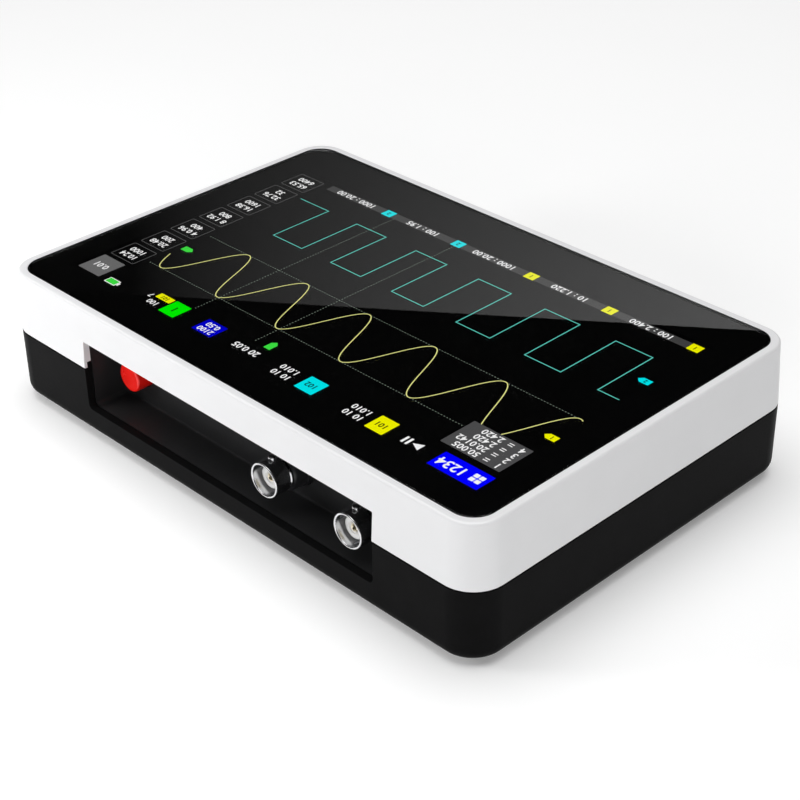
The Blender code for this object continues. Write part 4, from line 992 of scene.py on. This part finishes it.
def make_jack(number):
    """A jack: plated barrel, black base with its collar, white sleeve and gold contact."""
    low, high = span(f"jack_shell_{number}")
    middle = (low + high) / 2
    x, z = middle.x, middle.z
    axis = (x, 0.0, z)
    neck_end = low.y - high.y
    lip = (JACK_RIM - JACK_BORE) / 2
    rear = -JACK_RIM_LENGTH
    profile = arc(lip, 180, 0, 8, (JACK_RIM + JACK_BORE) / 2, -lip) + [
        (JACK_RIM, -2.0), (JACK_RIM, rear + 1.0), (JACK_RIM - 0.35, rear + 0.7),
        (JACK_RIM - 0.35, rear + 0.35), (JACK_RIM - 0.1, rear + 0.1), (JACK_RIM - 0.2, rear),
        (JACK_NECK, rear), (JACK_NECK, neck_end), (JACK_NECK_BORE, neck_end),
        (JACK_NECK_BORE, rear), (JACK_BORE - 0.4, rear), (JACK_BORE, rear + 0.4)]
    shell = turned(f"jack_barrel_{number}", profile, (x, high.y, z), closed=True)
    reach = (high.z - low.z) / 2 - LUG_EDGE
    steps = [(JACK_BORE + 0.25, LUG_RADIUS)]
    steps += [(reach + b, LUG_RADIUS - LUG_EDGE + a) for a, b in arc(LUG_EDGE, 0, 90, 4)]
    lugs = [([(z + side * away, circle(x, high.y - LUG_SET_BACK, radius, 32))
              for away, radius in steps], "Z") for side in (-1, 1)]
    shell = crisp(carve(shell, lugs, "UNION"))
    finish_piece(shell, nickel, [f"jack_shell_{number}"])
    neck_rear = high.y + neck_end - GAP

    low, high = span(f"jack_housing_{number}")
    tip, step, back = high.y, RECESS_BACK + COLLAR_STEP, bezel_low.y - GAP
    body = rounded(low.x, high.x, low.z, high.z, 0.8, 6)
    base = skinned(f"jack_base_{number}", [(low.y, body), (back, body)], "Y")
    profile = [(0.0, back - 1.0), (COLLAR, back - 1.0), (COLLAR, step - 0.4),
               (COLLAR - 0.12, step - 0.1), (COLLAR - 0.4, step), (COLLAR_TIP + 0.55, step),
               (COLLAR_TIP + 0.35, step + 0.25), (COLLAR_TIP + 0.3, tip - 1.2),
               (COLLAR_TIP + 0.2, tip - 0.7), (COLLAR_TIP, tip - 0.25), (COLLAR_TIP - 0.25, tip),
               (0.0, tip)]
    base = combine(base, turned("collar_tool", profile, axis), "UNION")
    for radius, start, end in ((JACK_NECK, neck_rear, tip + OVERSHOOT),
                               (INSULATOR, low.y + 4.0, neck_rear + 1.0)):
        base = carve(base, [rod(x, z, radius + GAP, start, end, 64, "Y")])
    finish_piece(crisp(base), jack_black, [f"jack_housing_{number}"])

    low, high = span(f"jack_insulator_{number}")
    face = high.y
    bore = CONTACT + GAP
    profile = [(bore, face - 0.6), (bore + 0.35, face - 0.25), (bore + 0.35, face),
               (INSULATOR - 0.3, face), (INSULATOR - 0.08, face - 0.08), (INSULATOR, face - 0.3),
               (INSULATOR, low.y), (bore, low.y)]
    sleeve = turned(f"jack_sleeve_{number}", profile, axis, 64, closed=True)
    finish_piece(sleeve, insulator_white, [f"jack_insulator_{number}"])

    low, high = span(f"jack_contact_{number}")
    face = high.y
    profile = [(0.0, face - 4.0), (0.5, face - 3.8), (0.5, face - 0.25), (0.68, face - 0.05),
               (0.8, face), (CONTACT - 0.15, face), (CONTACT, face - 0.15), (CONTACT, low.y),
               (0.0, low.y)]
    pin = turned(f"jack_socket_{number}", profile, axis, 48)
    slit = rounded(x - SLIT, x + SLIT, z - 3.0, z + 3.0, 0.02, 1)
    pin = crisp(carve(pin, [straight(slit, face - 2.5, face + 1.0, "Y")]))
    finish_piece(pin, gold, [f"jack_contact_{number}"])


# ---- Button, feet and screws ----

BUTTON_DISH = 0.12
BUTTON_EDGE = 0.55
FOOT_EDGE = 0.5
HEAD_RADIUS = 1.9
HEAD_HEIGHT = 1.4
HEAD_DOME = 0.35
SHANK = 1.0
THREAD_PITCH = 0.45
THREAD_ROOT = SHANK - 0.18
CROSS_REACH, CROSS_HALF = 1.1, 0.22


def make_button():
    low, high = span("power_button")
    floor = high.y - BUTTON_DISH
    rim = BUTTON - BUTTON_EDGE
    profile = [(0.0, floor)]
    profile += [(rim * 0.78 * i / 6, floor + BUTTON_DISH * 0.55 * (i / 6) ** 2) for i in range(1, 7)]
    profile += [(rim * 0.86, high.y - 0.01), (rim, high.y)]
    profile += [(rim + a, high.y - BUTTON_EDGE + b)
                for b, a in arc(BUTTON_EDGE, 0, 90)[1:]]
    front = bezel_low.y - GAP
    flange = BUTTON + BUTTON_FLANGE
    profile += [(BUTTON, front), (flange - 0.1, front), (flange, front - 0.1), (flange, low.y),
                (0.0, low.y)]
    middle = (low + high) / 2
    cap = turned("button_cap", profile, (middle.x, 0.0, middle.z), sharp=50)
    finish_piece(cap, button_red, ["power_button"], "button")


def make_feet():
    low, high = span("foot_1")
    rim = FOOT_RADIUS - FOOT_EDGE
    profile = [(0.0, low.z + 0.25), (FOOT_RADIUS - 1.7, low.z + 0.25), (FOOT_RADIUS - 1.5, low.z),
               (rim, low.z)]
    profile += [(rim + a, low.z + FOOT_EDGE + b)
                for a, b in arc(FOOT_EDGE, 270, 360, 5)[1:]]
    profile += [(FOOT_RADIUS, high.z), (0.0, high.z)]
    foot = turned("foot_prototype", profile, steps=64, along="Z")
    feet = one_per_corner("rubber_feet", foot, foot_rubber, FOOT_INSET)
    finish_piece(feet, foot_rubber, [f"foot_{i}" for i in range(1, 5)])


def make_case_screws():
    low, high = span("case_screw_1")
    seat = low.z + HEAD_HEIGHT
    profile = [(0.0, low.z)]
    profile += [(HEAD_RADIUS * sin(radians(a)), low.z + HEAD_DOME * (1 - cos(radians(a))))
                for a in (20, 40, 60, 80)]
    profile += [(HEAD_RADIUS, low.z + HEAD_DOME + 0.15), (HEAD_RADIUS, seat), (SHANK, seat)]
    for i in range(int((high.z - seat - 2.0) / THREAD_PITCH)):
        z = seat + 1.0 + i * THREAD_PITCH
        profile += [(THREAD_ROOT, z), (SHANK, z + THREAD_PITCH / 2)]
    profile += [(THREAD_ROOT, high.z - 0.6), (0.0, high.z)]
    screw = turned("screw_prototype", profile, steps=32, along="Z", sharp=30)
    for a, b in ((CROSS_REACH, CROSS_HALF), (CROSS_HALF, CROSS_REACH)):
        screw = carve(screw, [straight(rounded(-a, a, -b, b, 0.05, 1), low.z - 1.0, low.z + 0.8)])
    screws = one_per_corner("case_screws", screw, sheet_steel, SCREW_INSET)
    finish_piece(screws, sheet_steel, [f"case_screw_{i}" for i in range(1, 5)])


# ---- Pieces that keep their CAD shape ----

# Numbered nodes are given once, without their number.
INNER_PIECES = (
    (gasket_foam, "glass_gasket"),
    (lcd_black, "lcd_panel"),
    (sheet_steel, "backlight_tray display_bracket usb_socket board_screw bracket_screw"),
    (pale_plastic, "switch_stem battery_plug display_socket touch_socket relay"),
    (chip_epoxy, "usb_tongue switch_body charger_header logic_array processor memory_chip converter"),
    (board_green, "main_board charger_board"),
    (tinned, "clock_crystal shield_can"),
    (ferrite, "power_inductor"),
    (flex_film, "display_ribbon touch_ribbon"),
    (battery_wrap, "battery_pack"),
    (wire_red, "battery_lead_red"),
    (wire_black, "battery_lead_black"))


def paint_inner_pieces():
    finishes = {kind: material for material, kinds in INNER_PIECES for kind in kinds.split()}
    for name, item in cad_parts.items():
        kind = name.rstrip("_1234")
        if kind in finishes:
            item.data.materials.clear()
            item.data.materials.append(finishes[kind])


# ---- Studio ----

CAMERA_AZIMUTH, CAMERA_ELEVATION, CAMERA_ROLL = 225.95, 31.96, -0.915
CAMERA_DISTANCE = 497.1
CAMERA_AIM = (3.7, 5.0)
CAMERA_BASE = 3.0
FOCAL_LENGTH = 81.14


def make_camera():
    azimuth, elevation = radians(CAMERA_AZIMUTH), radians(CAMERA_ELEVATION)
    back = Vector((sin(azimuth) * cos(elevation), -cos(azimuth) * cos(elevation), sin(elevation)))
    right = Vector((0.0, 0.0, 1.0)).cross(back).normalized()
    up = back.cross(right)
    turn_by = Matrix.Rotation(radians(CAMERA_ROLL), 3, back)
    right, up = turn_by @ right, turn_by @ up
    aim = right * CAMERA_AIM[0] + up * CAMERA_AIM[1] + Vector((0.0, 0.0, CAMERA_BASE))
    data = bpy.data.cameras.new("camera")
    data.lens = FOCAL_LENGTH
    data.sensor_width = 36.0
    data.clip_start = 0.01
    data.clip_end = 100.0
    camera = show("camera", data)
    place = Matrix((right, up, back)).transposed().to_4x4()
    place.translation = (aim + back * CAMERA_DISTANCE) * MM
    camera.matrix_world = place
    scene.camera = camera


def make_panel_light(name, at, towards, width, height, power, mirrored=False):
    """A softbox. The small ones light the plastic only, so the glass doesn't mirror them."""
    data = bpy.data.lights.new(name, "AREA")
    data.shape = "RECTANGLE"
    data.size = width
    data.size_y = height
    data.energy = power
    item = show(name, data)
    item.location = at
    item.visible_glossy = mirrored
    item.visible_transmission = mirrored
    aim = Vector(towards) - Vector(at)
    item.rotation_mode = "QUATERNION"
    item.rotation_quaternion = aim.to_track_quat("-Z", "Y")


# The line across the glass where the card's reflection ends, and how far off the card stands.
GLARE_NEAR, GLARE_FAR = (-81.0, -56.0), (65.0, 55.0)
GLARE_REACH = 5.8
GLARE_OVERRUN = 0.6
GLARE_BRIGHT, GLARE_DIM = 0.5, 0.0
GLARE_LOW, GLARE_FADE = 0.77, 0.9


def make_glare_card():
    """A card low down beyond the glass. Its upper edge is seen in the glass along a straight line."""
    eye = scene.camera.matrix_world.translation / MM
    mirrored = Vector((eye.x, eye.y, 2 * TOP - eye.z))
    near, far = [mirrored + (Vector((*point, TOP)) - mirrored) * GLARE_REACH
                 for point in (GLARE_NEAR, GLARE_FAR)]
    overrun = (far - near) * GLARE_OVERRUN
    start, end = near - overrun, far + overrun
    shade = Shade("glare_card", BLACK, 1.0, Emission_Strength=1.0)
    across = shade.node("ShaderNodeSeparateXYZ", None, shade.place())
    up = shade.node("ShaderNodeSeparateXYZ", None, shade.place(), out=2)
    fade = shade.ramp(across, near.x * MM, near.lerp(far, GLARE_FADE).x * MM)
    rise = shade.ramp(up, near.z * MM * GLARE_LOW, near.z * MM)
    glow = shade.blend(fade, (GLARE_BRIGHT,) * 3, (GLARE_DIM,) * 3)
    shade.feed("Emission Color", shade.blend(rise * 0.5 + 0.5, BLACK, glow))
    bm = bmesh.new()
    corners = [(start.x, start.y, 0.0), (end.x, end.y, 0.0), tuple(end), tuple(start)]
    bm.faces.new([bm.verts.new(corner) for corner in corners])
    card = show("glare_card", mesh_of(bm, "glare_card"))
    card.data.materials.append(shade.material)
    card.visible_diffuse = False
    card.visible_shadow = False


def make_studio():
    floor_shade = Shade("studio_floor", (0.86, 0.86, 0.86), 0.9, Specular_IOR_Level=0.1,
                        Emission_Color=(1.0, 1.0, 1.0, 1.0), Emission_Strength=0.2)
    floor_shade.mottle(0.004, 60.0)
    bm = bmesh.new()
    bmesh.ops.create_grid(bm, x_segments=1, y_segments=1, size=6000.0)
    floor = show("studio_floor", mesh_of(bm, "studio_floor"))
    floor.data.materials.append(floor_shade.material)

    make_glare_card()

    make_panel_light("overhead_panel", (0.05, -0.05, 1.3), (0.0, 0.0, 0.0), 1.5, 1.5, 19.5, True)
    make_panel_light("corner_panel", (-0.95, 1.1, 0.45), (0.0, 0.0, 0.02), 0.4, 0.4, 5.0)
    make_panel_light("near_left_panel", (0.22, 0.30, 0.16), (0.07, 0.06, 0.02), 0.12, 0.12, 0.5)
    make_panel_light("corner_spot", (-0.20, 0.165, 0.06), (-0.09, 0.06, 0.02), 0.04, 0.04, 0.02)

    world = bpy.data.worlds.new("studio_world")
    world.use_nodes = True
    sky = world.node_tree.nodes["Background"].inputs
    sky["Color"].default_value = (*BLACK, 1.0)
    sky["Strength"].default_value = 0.0
    scene.world = world
    scene.view_settings.view_transform = "Standard"
    scene.view_settings.look = "None"


# ---- The whole instrument ----

make_camera()
make_upper_shell()
make_lower_shell()
make_recess_liner()
make_cover_glass()
make_ink_border()
make_edge_seal()
make_traces()
make_key_column()
make_menu_block()
make_reading_box()
make_status_row()
make_reading_strip()
make_pointers()
for jack in (1, 2):
    make_jack(jack)
make_button()
make_feet()
make_case_screws()
paint_inner_pieces()
make_studio()
